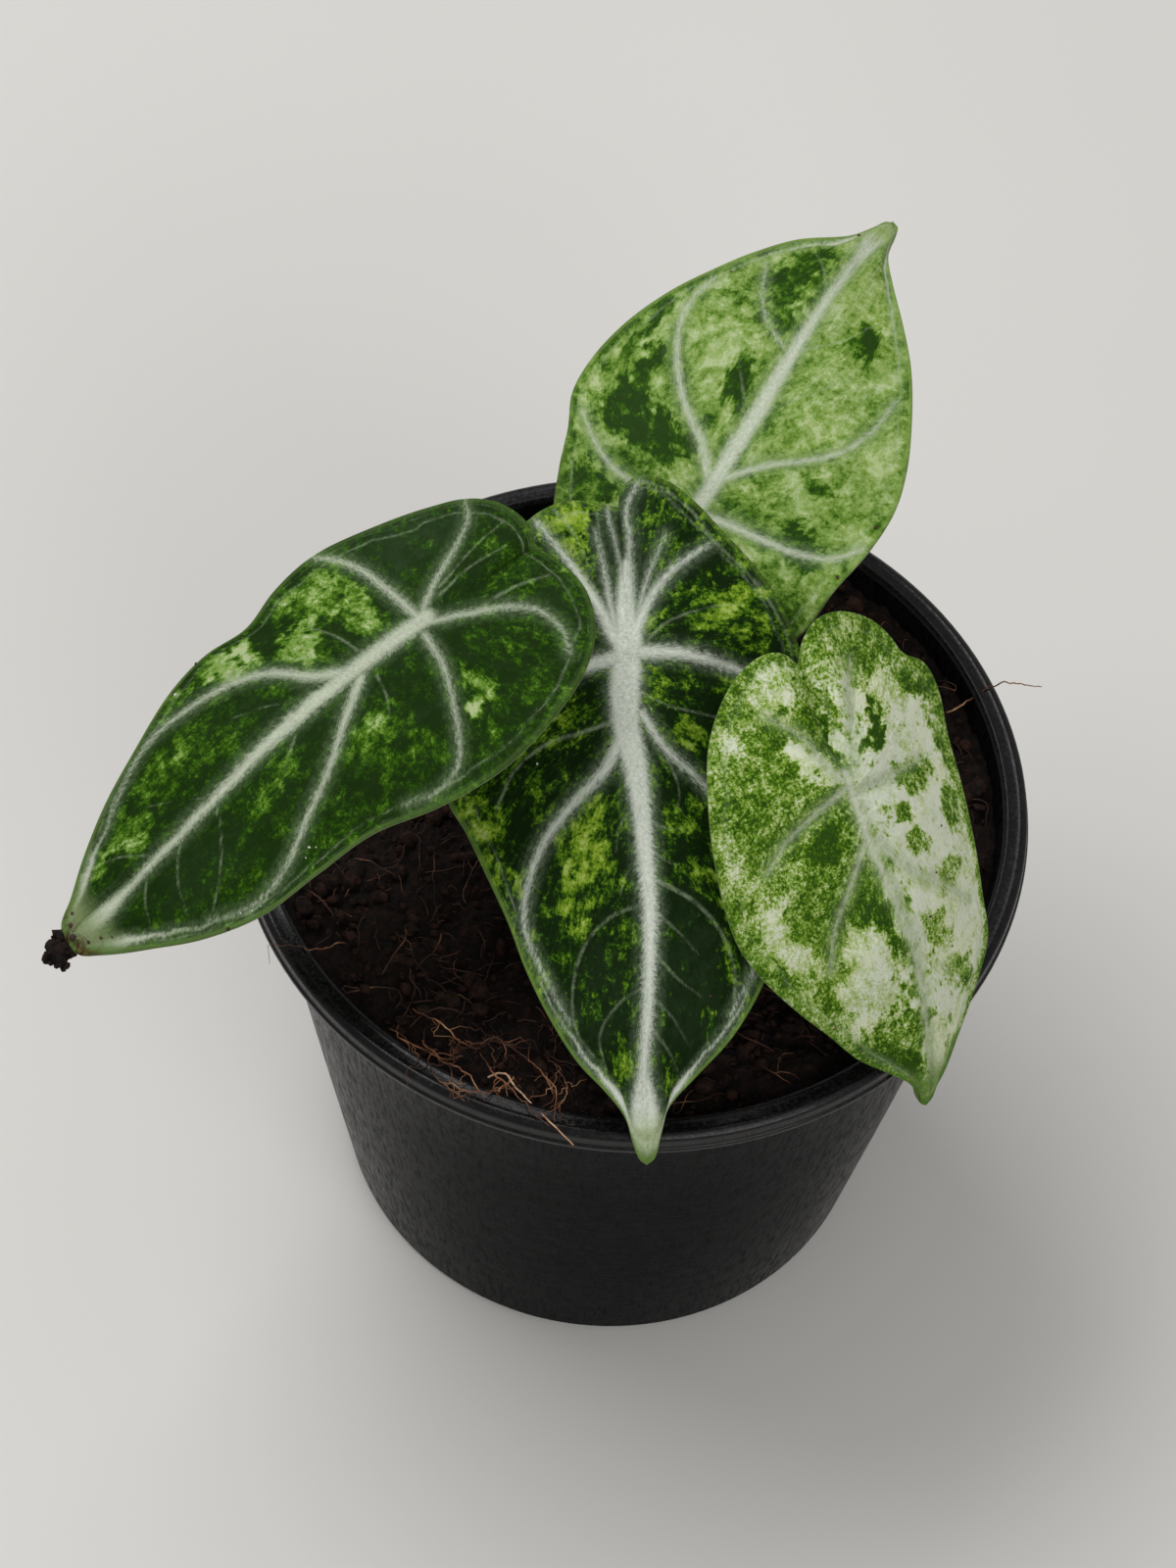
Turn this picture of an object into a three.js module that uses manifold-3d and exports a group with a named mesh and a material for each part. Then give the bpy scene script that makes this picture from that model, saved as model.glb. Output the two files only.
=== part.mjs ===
// A young potted ninja alocasia: four thick peltate leaves on short stems, in a round plastic pot of coir.
// Millimetres, +Z up. The origin is the centre of the pot's foot, and the plant's front is towards -Y.

import * as THREE from "three";
import { mergeVertices } from "three/addons/utils/BufferGeometryUtils.js";
import Module from "manifold-3d";

// Pot
const POT_HEIGHT = 95;
const RIM_RADIUS = 60;
const RIM_INNER_RADIUS = 56;
const RIM_DEPTH = 3.6;
const RIM_BEAD = 0.25;
const FOOT_RADIUS = 43.5;
const FOOT_INNER_RADIUS = 36;
const CENTRE_PAD_RADIUS = 14;
const FLOOR_LIFT = 2.5;
const WALL = 1.2;
const DRAIN_COUNT = 8;
const DRAIN_RADIUS = 3.5;
const DRAIN_CIRCLE = 28;
const POT_SEGMENTS = 48;

// Soil
const SOIL_LEVEL = 91.2;
const SOIL_CROWN_RISE = 1.4;
const SOIL_ROUGHNESS = 0.45;
const SOIL_SEGMENTS = 44;
const SOIL_RINGS = [7, 14, 21, 29, 37, 45, 51];

// Space kept between two pieces that touch
const SEAT = 0.3;

// Stems
const STEM_FOOT_RADIUS = 3;
const STEM_NECK_RADIUS = 2.1;
const STEM_TOP_RADIUS = 2.7;
const STEM_SIDES = 10;
const STEM_DEPTH_IN_SOIL = 24;
const STEM_STRAIGHT_ABOVE_SOIL = 2.6;
const STEM_RINGS = 14;
const STEM_HANDLE = 0.46;
const STEM_CLEARANCE = 0.65;
const HOLE_RADIUS = 3.6;
const HOLE_SIDES = 14;

// Blades
const BLADE_THICKNESS = 1;
const MARGIN_THICKNESS = 0.75;
const BEAK_LENGTH = 11;
const BEAK_EXTRA_THICKNESS = 1.3;
const MIDRIB_DEPTH = 1.7;
const VEIN_DEPTH = 0.5;
const VEIN_GROOVE = 0.3;
const QUILT_HEIGHT = 0.75;
const QUILT_END = 0.9;
const MARGIN_WAVE = 0.5;
const MARGIN_WAVES = 3.5;
const KEEL_WIDTH = 3;
const CREASE_WIDTH = 2.4;
const CREASE_START = 8;
const TIP_INSET = 1.2;
const SINUS_INSET = 1;
// Where a blade has its vertices, as fractions between two neighbouring veins and from midrib to margin
const BETWEEN_VEINS = [0, 0.12, 0.3, 0.5, 0.7, 0.88];
const MIDRIB_TO_MARGIN = [0, 0.09, 0.28, 0.52, 0.76, 0.9, 1];

// Each leaf. attach and tip are the ends of its midrib in the part's frame, foot is where its stem leaves the
// soil, and arch is how far the midrib bows up between its ends. bank turns the blade about its midrib,
// bow bends the midrib sideways and crease sinks it behind the hub. sideSlope tilts each half up from the
// midrib, in degrees, sideCurl bends it down towards the margin and lobeCurl bends the rear lobes down, both
// in 1/mm. An outline runs from the sinus round one half to the tip, as [along the midrib from attach,
// across], in mm, with port on the negative side. A vein leaves the midrib at start and runs by bend to end
// on the outline.
const LEAVES = {
  left: {
    attach: [-31.6, -8.5, 144.8],
    tip: [-78.1, -46.8, 113.1],
    foot: [-5.4, 0.2],
    arch: 3,
    bank: -6,
    bow: 0.6,
    lobeCurl: 0.004,
    crease: 0.4,
    port: {
      sideSlope: -3,
      sideCurl: -0.004,
      outline: [
        [-19.2, 0], [-20.6, -4.5], [-20.9, -9.8], [-18.6, -15], [-13.5, -19.2], [-5, -22.2],
        [4, -23.3], [14, -21.7], [24, -18.6], [34, -18], [43, -17.3], [52, -13.9], [60, -8.9],
        [65.4, -4.8], [68, -2.4], [68.4, 0],
      ],
    },
    starboard: {
      sideSlope: -10,
      sideCurl: -0.004,
      outline: [
        [-19.2, 0], [-20.5, 3], [-19.6, 8.5], [-16.5, 12.7], [-11, 15.6], [-3, 18.3], [6, 20.5],
        [13.5, 20.2], [20, 18.5], [27, 19.3], [34, 18.3], [43, 15.3], [52, 11.9], [59, 8],
        [64, 4.4], [67.4, 2.4], [68.4, 0],
      ],
    },
    veins: [
      {
        start: -3,
        port: { bend: [-8, -3.5], end: [-18.6, -15] },
        starboard: { bend: [-8, 4.5], end: [-17, 12.2] },
      },
      {
        start: 1.5,
        port: { bend: [1.8, -9], end: [11, -22.4] },
        starboard: { bend: [1.5, 10], end: [6, 20.5] },
      },
      {
        start: 14,
        port: { bend: [22, -7], end: [41, -17.4] },
        starboard: { bend: [23, 11.5], end: [45, 14.6] },
      },
      {
        start: 40,
        port: { bend: [45, -6], end: [54, -12.6] },
        starboard: { bend: [45, 5], end: [55, 10.4] },
      },
    ],
  },
  centre: {
    attach: [-2.9, -3.2, 136],
    tip: [7.1, -64.7, 97.8],
    foot: [0.3, -5.2],
    arch: 2.5,
    bank: 0,
    bow: -1.1,
    lobeCurl: 0.004,
    crease: 1.2,
    port: {
      sideSlope: -3,
      sideCurl: -0.004,
      outline: [
        [-21.5, 0], [-24.4, -0.5], [-25.9, -3], [-25.2, -7], [-22, -11], [-17.5, -14.8], [-11, -20],
        [-4.5, -23.4], [2, -25.2], [10, -24.8], [18, -24], [26, -23], [34, -21.8], [42, -19.9],
        [49, -17.2], [56, -12.7], [61.3, -7.4], [65.5, -3.4], [69.6, -2.1], [72.4, -1.2], [73.3, 0],
      ],
    },
    starboard: {
      sideSlope: -3,
      sideCurl: -0.004,
      outline: [
        [-21.5, 0], [-22.3, 4.5], [-22.4, 8], [-20.6, 12.3], [-17, 15.8], [-11, 19.5], [-3, 22.5],
        [6, 24.6], [14, 26.4], [20, 26.4], [25, 23.9], [31, 21.4], [38, 18.6], [45, 16.3],
        [52, 13.2], [58.5, 9.4], [63, 5.5], [66.5, 3], [70.3, 1.9], [72.5, 1], [73.3, 0],
      ],
    },
    veins: [
      {
        start: -5,
        port: { bend: [-13, -0.9], end: [-25.9, -3] },
        starboard: { bend: [-10, 4.6], end: [-20.6, 12.3] },
      },
      {
        start: -2,
        port: { bend: [-10, -4.2], end: [-16.5, -15.6] },
        starboard: { bend: [-6, 9], end: [-10, 19.9] },
      },
      {
        start: 1.5,
        port: { bend: [1.4, -10], end: [7, -25] },
        starboard: { bend: [2, 9], end: [8, 25.1] },
      },
      {
        start: 11.5,
        port: { bend: [19, -10], end: [32, -22.2] },
        starboard: { bend: [23, 12.5], end: [41, 17.8] },
      },
      {
        start: 33.5,
        port: { bend: [39, -12], end: [54, -14] },
        starboard: { bend: [42, 9], end: [57, 10.4] },
      },
    ],
  },
  right: {
    attach: [30.7, -20.3, 132.7],
    tip: [46.9, -46.2, 91.6],
    foot: [5.6, 0.2],
    arch: 4.6,
    bank: 0,
    bow: -2.6,
    lobeCurl: 0.006,
    crease: 2,
    port: {
      sideSlope: -32,
      sideCurl: -0.004,
      outline: [
        [-18.5, 0], [-21.8, -1.9], [-23.8, -5], [-24, -10], [-21.6, -15], [-18.5, -17.2],
        [-15, -18.3], [-12.6, -21.4], [-8, -22.4], [0, -21], [9, -20.3], [18, -19.2], [27, -18],
        [36, -17.2], [42.2, -12.6], [46.6, -8], [49.6, -4.4], [51, -2], [52.8, -1], [53.7, 0],
      ],
    },
    starboard: {
      sideSlope: -2,
      sideCurl: -0.002,
      outline: [
        [-18.5, 0], [-20.6, 1.4], [-21.7, 4.6], [-20.6, 9], [-17.5, 13.2], [-12.5, 17.3],
        [-6, 20.2], [1, 22.2], [9, 23.2], [16, 22.9], [22, 20.9], [28, 17.6], [34, 13.6], [40, 9.8],
        [44.8, 5.3], [48, 2.4], [50.6, 1.2], [52.8, 0.8], [53.7, 0],
      ],
    },
    veins: [
      {
        start: -3,
        port: { bend: [-9.5, -5.5], end: [-23, -13] },
        starboard: { bend: [-7, 4.6], end: [-15, 15.3] },
      },
      {
        start: 1.5,
        port: { bend: [1, -9], end: [8, -20.3] },
        starboard: { bend: [2, 9], end: [10, 23.2] },
      },
      {
        start: 8,
        port: { bend: [15.5, -10], end: [29, -17.8] },
        starboard: { bend: [18, 8.5], end: [33, 14.3] },
      },
      {
        start: 26,
        port: { bend: [32, -8.5], end: [43, -12.4] },
        starboard: { bend: [33, 5.5], end: [42, 8.3] },
      },
    ],
  },
  back: {
    attach: [3.6, 21.9, 136.9],
    tip: [30.9, 78.9, 139.3],
    foot: [-0.2, 5.4],
    arch: 4,
    bank: 0,
    bow: 0,
    lobeCurl: 0.012,
    crease: 0.6,
    port: {
      sideSlope: -2,
      sideCurl: -0.006,
      outline: [
        [-15, 0], [-18, -4], [-18.5, -9], [-15.5, -13.5], [-11, -16.8], [-6.5, -18.8], [-1, -20.9],
        [4, -22.6], [10, -25.4], [16.5, -26], [24, -24.8], [32, -21.8], [39, -18.2], [46, -14.5],
        [52, -10.4], [57.2, -4], [60.8, -1.9], [63.2, -1], [63.9, 0],
      ],
    },
    starboard: {
      sideSlope: -2,
      sideCurl: -0.006,
      outline: [
        [-15, 0], [-18.5, 3], [-20, 8], [-18.5, 14], [-14.5, 19.5], [-8, 23.4], [0, 24.4],
        [8, 25.7], [16, 25.7], [23, 24], [30, 21], [38, 16.6], [45, 11.5], [52, 6], [56.5, 2.9],
        [60.4, 1.7], [63.2, 1], [63.9, 0],
      ],
    },
    veins: [
      {
        start: -3,
        port: { bend: [-8, -5], end: [-16.5, -12.2] },
        starboard: { bend: [-9, 6], end: [-18.8, 13] },
      },
      {
        start: 1,
        port: { bend: [0.8, -11], end: [7, -24] },
        starboard: { bend: [0.5, 12], end: [7, 25.6] },
      },
      {
        start: 5,
        port: { bend: [17, -11], end: [38, -18.8] },
        starboard: { bend: [17, 12], end: [36, 17.8] },
      },
      {
        start: 29,
        port: { bend: [36.5, -8.5], end: [47.5, -13.4] },
        starboard: { bend: [38, 7.5], end: [50, 7.5] },
      },
    ],
  },
};

// Crumb of wet soil on the left leaf's tip
const CRUMB_RADII = [2.2, 2.5, 1.8];
const CRUMB_LUMPS = 0.14;
const CRUMB_SAG = 1;

const wasm = await Module();
wasm.setup();

const degrees = THREE.MathUtils.degToRad;
const lerp = THREE.MathUtils.lerp;
const smoothstep = THREE.MathUtils.smoothstep;

function material(color, roughness) {
  return new THREE.MeshStandardMaterial({ color, roughness, metalness: 0 });
}

function mesh(name, geometry, look) {
  const piece = new THREE.Mesh(geometry, look);
  piece.name = name;
  return piece;
}

// A geometry of shared vertices, without the faces that have no area.
function welded(geometry) {
  const bare = geometry.clone();
  bare.deleteAttribute("normal");
  bare.deleteAttribute("uv");
  const merged = mergeVertices(bare, 1e-3);
  const corners = merged.index.array;
  const kept = [];
  for (let i = 0; i < corners.length; i += 3) {
    const [a, b, c] = corners.slice(i, i + 3);
    if (a !== b && b !== c && c !== a) kept.push(a, b, c);
  }
  merged.setIndex(kept);
  return merged;
}

function solid(geometry) {
  const merged = welded(geometry);
  return new wasm.Manifold(
    new wasm.Mesh({
      numProp: 3,
      vertProperties: merged.attributes.position.array,
      triVerts: new Uint32Array(merged.index.array),
    }),
  );
}

function geometryOf(manifold) {
  const cut = manifold.getMesh();
  const geometry = new THREE.BufferGeometry();
  geometry.setAttribute("position", new THREE.BufferAttribute(cut.vertProperties, 3));
  geometry.setIndex(new THREE.BufferAttribute(cut.triVerts, 1));
  geometry.computeVertexNormals();
  return geometry;
}

function geometryFrom(positions, faces) {
  const geometry = new THREE.BufferGeometry();
  geometry.setAttribute("position", new THREE.Float32BufferAttribute(positions, 3));
  geometry.setIndex(faces);
  return welded(geometry);
}

// A closed surface of revolution about +Z from a profile of [radius, height] that runs up its outside.
function revolved(profile, segments) {
  const points = profile.map(([radius, height]) => new THREE.Vector2(radius, height));
  return new THREE.LatheGeometry(points, segments).rotateX(Math.PI / 2);
}

function upright(radius, height, sides) {
  return new THREE.CylinderGeometry(radius, radius, height, sides).rotateX(Math.PI / 2);
}

// Pot: the wall tapers from rim to foot, and the floor is raised between the foot ring and the centre pad.

const WALL_TOP_RADIUS = RIM_INNER_RADIUS + WALL;

function potProfile() {
  const skirt = POT_HEIGHT - RIM_DEPTH;
  const slope = (WALL_TOP_RADIUS - FOOT_RADIUS) / POT_HEIGHT;
  const underRim = POT_HEIGHT - WALL;
  const innerFoot = FOOT_RADIUS - WALL;
  return [
    [0, 0],
    [CENTRE_PAD_RADIUS, 0],
    [CENTRE_PAD_RADIUS + 1.5, FLOOR_LIFT],
    [FOOT_INNER_RADIUS - 1.5, FLOOR_LIFT],
    [FOOT_INNER_RADIUS, 0],
    [FOOT_RADIUS - 1, 0],
    [FOOT_RADIUS, 1],
    [FOOT_RADIUS + slope * underRim, underRim],
    [RIM_RADIUS - WALL, underRim],
    [RIM_RADIUS - WALL, skirt],
    [RIM_RADIUS + RIM_BEAD, skirt],
    [RIM_RADIUS + RIM_BEAD, skirt + 0.8],
    [RIM_RADIUS, skirt + 1.1],
    [RIM_RADIUS, POT_HEIGHT - 1],
    [RIM_RADIUS - 0.4, POT_HEIGHT - 0.3],
    [RIM_RADIUS - 1.2, POT_HEIGHT],
    [RIM_INNER_RADIUS + 0.6, POT_HEIGHT],
    [RIM_INNER_RADIUS, POT_HEIGHT - 0.6],
    [innerWall(WALL + 1), WALL + 1],
    [innerFoot - 1, WALL],
    [FOOT_INNER_RADIUS + 0.8, WALL],
    [FOOT_INNER_RADIUS - 0.7, FLOOR_LIFT + WALL],
    [CENTRE_PAD_RADIUS + 0.7, FLOOR_LIFT + WALL],
    [CENTRE_PAD_RADIUS - 0.8, WALL],
    [0, WALL],
  ];
}

function innerWall(height) {
  return lerp(FOOT_RADIUS - WALL, RIM_INNER_RADIUS, height / POT_HEIGHT);
}

function pot() {
  let body = solid(revolved(potProfile(), POT_SEGMENTS));
  for (let i = 0; i < DRAIN_COUNT; i++) {
    const angle = (2 * Math.PI * (i + 0.5)) / DRAIN_COUNT;
    const drain = upright(DRAIN_RADIUS, 4 * WALL, HOLE_SIDES);
    drain.translate(DRAIN_CIRCLE * Math.cos(angle), DRAIN_CIRCLE * Math.sin(angle), FLOOR_LIFT + WALL / 2);
    body = body.subtract(solid(drain));
  }
  return geometryOf(body);
}

// Soil: it fills the pot to just under the rim, a little higher round the stems, with a lumpy top.

function soilTop(x, y) {
  const radius = Math.hypot(x, y);
  const crown = SOIL_CROWN_RISE * (1 - smoothstep(radius, 6, 34));
  const lumps = Math.sin(0.31 * x + 1.3) * Math.cos(0.27 * y) + 0.7 * Math.sin(0.53 * y - 0.41 * x);
  return SOIL_LEVEL + crown + SOIL_ROUGHNESS * lumps;
}

function soil() {
  const bottom = FLOOR_LIFT + WALL + SEAT;
  const topRadius = innerWall(SOIL_LEVEL) - 2 * SEAT;
  const profile = [
    [0, bottom],
    [innerWall(bottom) - 2 * SEAT, bottom],
    [topRadius, SOIL_LEVEL],
    ...[...SOIL_RINGS].reverse().map((radius) => [radius, SOIL_LEVEL]),
    [0, SOIL_LEVEL],
  ];
  const body = revolved(profile, SOIL_SEGMENTS);
  const points = body.attributes.position;
  for (let i = 0; i < points.count; i++) {
    if (points.getZ(i) > SOIL_LEVEL - 1) points.setZ(i, soilTop(points.getX(i), points.getY(i)));
  }
  let filled = solid(body);
  for (const leaf of Object.values(LEAVES)) {
    const depth = STEM_DEPTH_IN_SOIL + SEAT;
    const hole = upright(HOLE_RADIUS, 2 * depth, HOLE_SIDES);
    hole.translate(leaf.foot[0], leaf.foot[1], SOIL_LEVEL);
    filled = filled.subtract(solid(hole));
  }
  return geometryOf(filled);
}

// Blade: its surface follows the midrib's arc, and then the fold, curl and relief of each half.

function frameOf(leaf) {
  const attach = new THREE.Vector3(...leaf.attach);
  const chord = new THREE.Vector3(...leaf.tip).sub(attach);
  const span = chord.length();
  const along = chord.normalize();
  const up = new THREE.Vector3(0, 0, 1).addScaledVector(along, -along.z).normalize();
  up.applyAxisAngle(along, degrees(leaf.bank));
  const side = along.clone().cross(up);
  const half = 2 * Math.atan((2 * leaf.arch) / span);
  const forward = along.clone().multiplyScalar(Math.cos(half)).addScaledVector(up, Math.sin(half));
  const normal = up.clone().multiplyScalar(Math.cos(half)).addScaledVector(along, -Math.sin(half));
  const radius = span / (2 * Math.sin(half));
  return { attach, forward, side, normal, radius, length: 2 * radius * half };
}

function midlineAcross(leaf, frame, u) {
  if (u < 0) return 0;
  const t = Math.min(u / frame.length, 1);
  return 4 * leaf.bow * t * (1 - t);
}

// The point of the blade's smooth middle surface at u along and v across, raised by height.
function onBlade(leaf, frame, u, v, height) {
  const curl = u > 0 ? 1 / frame.radius : leaf.lobeCurl;
  const turn = curl * u;
  const ahead = Math.sin(turn) / curl;
  const drop = (1 - Math.cos(turn)) / curl;
  const half = v < 0 ? leaf.port : leaf.starboard;
  const keeled = Math.hypot(v, KEEL_WIDTH) - KEEL_WIDTH;
  const crease = leaf.crease * smoothstep(-u, 0, CREASE_START) * Math.exp(-((v / CREASE_WIDTH) ** 2));
  const rise = Math.tan(degrees(half.sideSlope)) * keeled + (half.sideCurl * v * v) / 2 - crease + height;
  return frame.attach
    .clone()
    .addScaledVector(frame.forward, ahead + rise * Math.sin(turn))
    .addScaledVector(frame.normal, rise * Math.cos(turn) - drop)
    .addScaledVector(frame.side, v);
}

function outlineCurve(outline) {
  return new THREE.CatmullRomCurve3(outline.map(([u, v]) => new THREE.Vector3(u, v, 0)));
}

function nearestOn(curve, [u, v]) {
  const steps = 400;
  const target = new THREE.Vector3(u, v, 0);
  let best = 0;
  let least = Infinity;
  for (let i = 0; i <= steps; i++) {
    const distance = curve.getPoint(i / steps).distanceTo(target);
    if (distance < least) {
      least = distance;
      best = i / steps;
    }
  }
  return best;
}

// The lines from midrib to margin of one half: the sinus, each vein, the tip, and lines between them.
function ribs(leaf, frame, side) {
  const curve = outlineCurve(leaf[side].outline);
  const sinus = leaf[side].outline[0][0];
  const inner = sinus + SINUS_INSET;
  const outer = frame.length - TIP_INSET;
  const main = [
    { start: inner, bend: [(inner + sinus) / 2, 0], at: 0 },
    ...leaf.veins.map((vein) => ({
      start: vein.start,
      bend: vein[side].bend,
      at: nearestOn(curve, vein[side].end),
    })),
    { start: outer, bend: [(outer + frame.length) / 2, 0], at: 1 },
  ];
  const lines = [];
  for (let i = 0; i + 1 < main.length; i++) {
    const [from, to] = [main[i], main[i + 1]];
    for (const f of BETWEEN_VEINS) {
      const start = lerp(from.start, to.start, f);
      lines.push({
        onVein: i > 0 && f === 0 ? 1 : 0,
        between: f,
        at: lerp(from.at, to.at, f),
        start: new THREE.Vector3(start, midlineAcross(leaf, frame, start), 0),
        bend: new THREE.Vector3(lerp(from.bend[0], to.bend[0], f), lerp(from.bend[1], to.bend[1], f), 0),
        end: curve.getPoint(lerp(from.at, to.at, f)),
      });
    }
  }
  const tip = main[main.length - 1];
  lines.push({
    onVein: 0,
    between: 0,
    at: 1,
    start: new THREE.Vector3(tip.start, midlineAcross(leaf, frame, tip.start), 0),
    bend: new THREE.Vector3(...tip.bend, 0),
    end: curve.getPoint(1),
  });
  return lines;
}

// The upper surface's height over the smooth one: quilted between the veins, grooved along them,
// and waved at the margin.
function relief(line, w) {
  const bulge = 4 * line.between * (1 - line.between) * Math.sin(Math.PI * Math.min(w / QUILT_END, 1));
  const groove = line.onVein * VEIN_GROOVE * (1 - w) + (w === 0 ? VEIN_GROOVE : 0);
  const swing = Math.sin(2 * Math.PI * MARGIN_WAVES * line.at) * Math.sin(Math.PI * line.at);
  return QUILT_HEIGHT * bulge - groove + MARGIN_WAVE * w ** 3 * swing;
}

// The blade's thickness: thinner at the margin, with a thick beak at the tip and ribs under the veins.
function thickness(frame, line, w, u) {
  const beak = BEAK_EXTRA_THICKNESS * smoothstep(u, frame.length - BEAK_LENGTH, frame.length - 2);
  const sheet = lerp(BLADE_THICKNESS, MARGIN_THICKNESS, w);
  const ribFade = u < 0 ? 0.5 : 1 - u / frame.length;
  const rib = w === 0 ? MIDRIB_DEPTH * ribFade : line.onVein * VEIN_DEPTH * (1 - w);
  return sheet + beak + rib;
}

function blade(leaf) {
  const frame = frameOf(leaf);
  const positions = [];
  const faces = [];
  const rings = MIDRIB_TO_MARGIN.length;
  for (const side of ["port", "starboard"]) {
    const lines = ribs(leaf, frame, side);
    const first = positions.length / 3;
    for (const line of lines) {
      const path = new THREE.QuadraticBezierCurve3(line.start, line.bend, line.end);
      for (const w of MIDRIB_TO_MARGIN) {
        const { x: u, y: v } = path.getPoint(w);
        const top = relief(line, w);
        positions.push(...onBlade(leaf, frame, u, v, top));
        positions.push(...onBlade(leaf, frame, u, v, top - thickness(frame, line, w, u)));
      }
    }
    const flip = side === "port";
    const at = (j, k, under) => first + 2 * (j * rings + k) + under;
    const quad = (a, b, c, d, turned = flip) => {
      faces.push(...(turned ? [a, c, b, a, d, c] : [a, b, c, a, c, d]));
    };
    for (let j = 0; j + 1 < lines.length; j++) {
      for (let k = 0; k + 1 < rings; k++) {
        quad(at(j, k, 0), at(j, k + 1, 0), at(j + 1, k + 1, 0), at(j + 1, k, 0));
        quad(at(j, k, 1), at(j, k + 1, 1), at(j + 1, k + 1, 1), at(j + 1, k, 1), !flip);
      }
      quad(at(j, rings - 1, 0), at(j, rings - 1, 1), at(j + 1, rings - 1, 1), at(j + 1, rings - 1, 0));
    }
  }
  return geometryFrom(positions, faces);
}

// Stem: straight up out of the soil, then in one bend to the blade's underside, which it meets square.

function stemLine(leaf) {
  const frame = frameOf(leaf);
  const [x, y] = leaf.foot;
  const bottom = new THREE.Vector3(x, y, SOIL_LEVEL - STEM_DEPTH_IN_SOIL);
  const ground = new THREE.Vector3(x, y, SOIL_LEVEL + STEM_STRAIGHT_ABOVE_SOIL);
  const under = BLADE_THICKNESS + MIDRIB_DEPTH + VEIN_GROOVE + STEM_CLEARANCE;
  const top = frame.attach.clone().addScaledVector(frame.normal, -under);
  const reach = top.distanceTo(ground);
  const bend = new THREE.CubicBezierCurve3(
    ground,
    ground.clone().add(new THREE.Vector3(0, 0, STEM_HANDLE * reach)),
    top.clone().addScaledVector(frame.normal, -STEM_HANDLE * reach),
    top,
  );
  return { bottom, bend };
}

function stemRadius(t) {
  const tapered = lerp(STEM_FOOT_RADIUS, STEM_NECK_RADIUS, smoothstep(t, 0, 0.6));
  return tapered + (STEM_TOP_RADIUS - STEM_NECK_RADIUS) * smoothstep(t, 0.85, 1);
}

// A closed round body along centres, with a radius at each, its rings kept from twisting.
function lofted(centres, radii, sides) {
  const positions = [];
  const faces = [];
  const count = centres.length;
  let across = new THREE.Vector3(1, 0, 0);
  centres.forEach((centre, i) => {
    const before = centres[Math.max(i - 1, 0)];
    const after = centres[Math.min(i + 1, count - 1)];
    const along = after.clone().sub(before).normalize();
    across = across.addScaledVector(along, -across.dot(along)).normalize();
    const other = along.clone().cross(across);
    for (let s = 0; s < sides; s++) {
      const angle = (2 * Math.PI * s) / sides;
      const point = centre
        .clone()
        .addScaledVector(across, radii[i] * Math.cos(angle))
        .addScaledVector(other, radii[i] * Math.sin(angle));
      positions.push(...point);
    }
  });
  for (let i = 0; i + 1 < count; i++) {
    for (let s = 0; s < sides; s++) {
      const next = (s + 1) % sides;
      const [a, b] = [i * sides + s, i * sides + next];
      faces.push(a, b, b + sides, a, b + sides, a + sides);
    }
  }
  const last = (count - 1) * sides;
  for (let s = 1; s + 1 < sides; s++) {
    faces.push(0, s + 1, s);
    faces.push(last, last + s, last + s + 1);
  }
  return geometryFrom(positions, faces);
}

function stem(leaf) {
  const { bottom, bend } = stemLine(leaf);
  const centres = [bottom];
  const radii = [STEM_FOOT_RADIUS];
  for (let i = 0; i <= STEM_RINGS; i++) {
    centres.push(bend.getPoint(i / STEM_RINGS));
    radii.push(stemRadius(i / STEM_RINGS));
  }
  return lofted(centres, radii, STEM_SIDES);
}

// Crumb: a small lump that hangs on just past the left leaf's tip.

function crumb() {
  const leaf = LEAVES.left;
  const frame = frameOf(leaf);
  const [along, across, high] = CRUMB_RADII;
  const lump = new THREE.IcosahedronGeometry(1, 2);
  const points = lump.attributes.position;
  const seat = new THREE.Vector3(...leaf.tip);
  const ahead = seat.clone().sub(frame.attach).normalize();
  const centre = seat.addScaledVector(ahead, along + SEAT);
  centre.addScaledVector(frame.normal, -CRUMB_SAG);
  for (let i = 0; i < points.count; i++) {
    const [x, y, z] = [points.getX(i), points.getY(i), points.getZ(i)];
    const lumpy = 1 + CRUMB_LUMPS * Math.sin(4 * x + 1) * Math.cos(3.3 * y - 5 * z);
    const point = centre
      .clone()
      .addScaledVector(ahead, along * lumpy * x)
      .addScaledVector(frame.side, -across * lumpy * y)
      .addScaledVector(frame.normal, high * lumpy * z);
    points.setXYZ(i, point.x, point.y, point.z);
  }
  return welded(lump);
}

const BLADE_COLOURS = { left: 0x2f5a2c, centre: 0x2c5228, right: 0xa9c08a, back: 0x8fb56a };
const plant = new THREE.Group();

plant.add(mesh("pot", pot(), material(0x111113, 0.4)));
plant.add(mesh("soil", soil(), material(0x2a1a12, 1)));
for (const [name, leaf] of Object.entries(LEAVES)) {
  plant.add(mesh("petiole_" + name, stem(leaf), material(0x9cb878, 0.55)));
  plant.add(mesh("blade_" + name, blade(leaf), material(BLADE_COLOURS[name], 0.7)));
}
plant.add(mesh("soil_crumb", crumb(), material(0x3a2416, 1)));

export default plant;
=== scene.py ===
"""Looks of a potted ninja alocasia: four velvety variegated leaves in a black nursery pot of coir.

Every length in the tables is in millimetres, in the part's frame, and meshes are turned to metres when made.
A place on a blade is (u, v): u along the midrib from the stem, and v across it, port on the minus side.
A colour is as seen: red, green and blue from 0 to 255. A tone is 0 for the darkest green, 1 for cream.
"""

from math import atan, atan2, cos, hypot, pi, radians, sin, tan

import bmesh
import bpy
import numpy as np
from mathutils import Matrix, Vector


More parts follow.
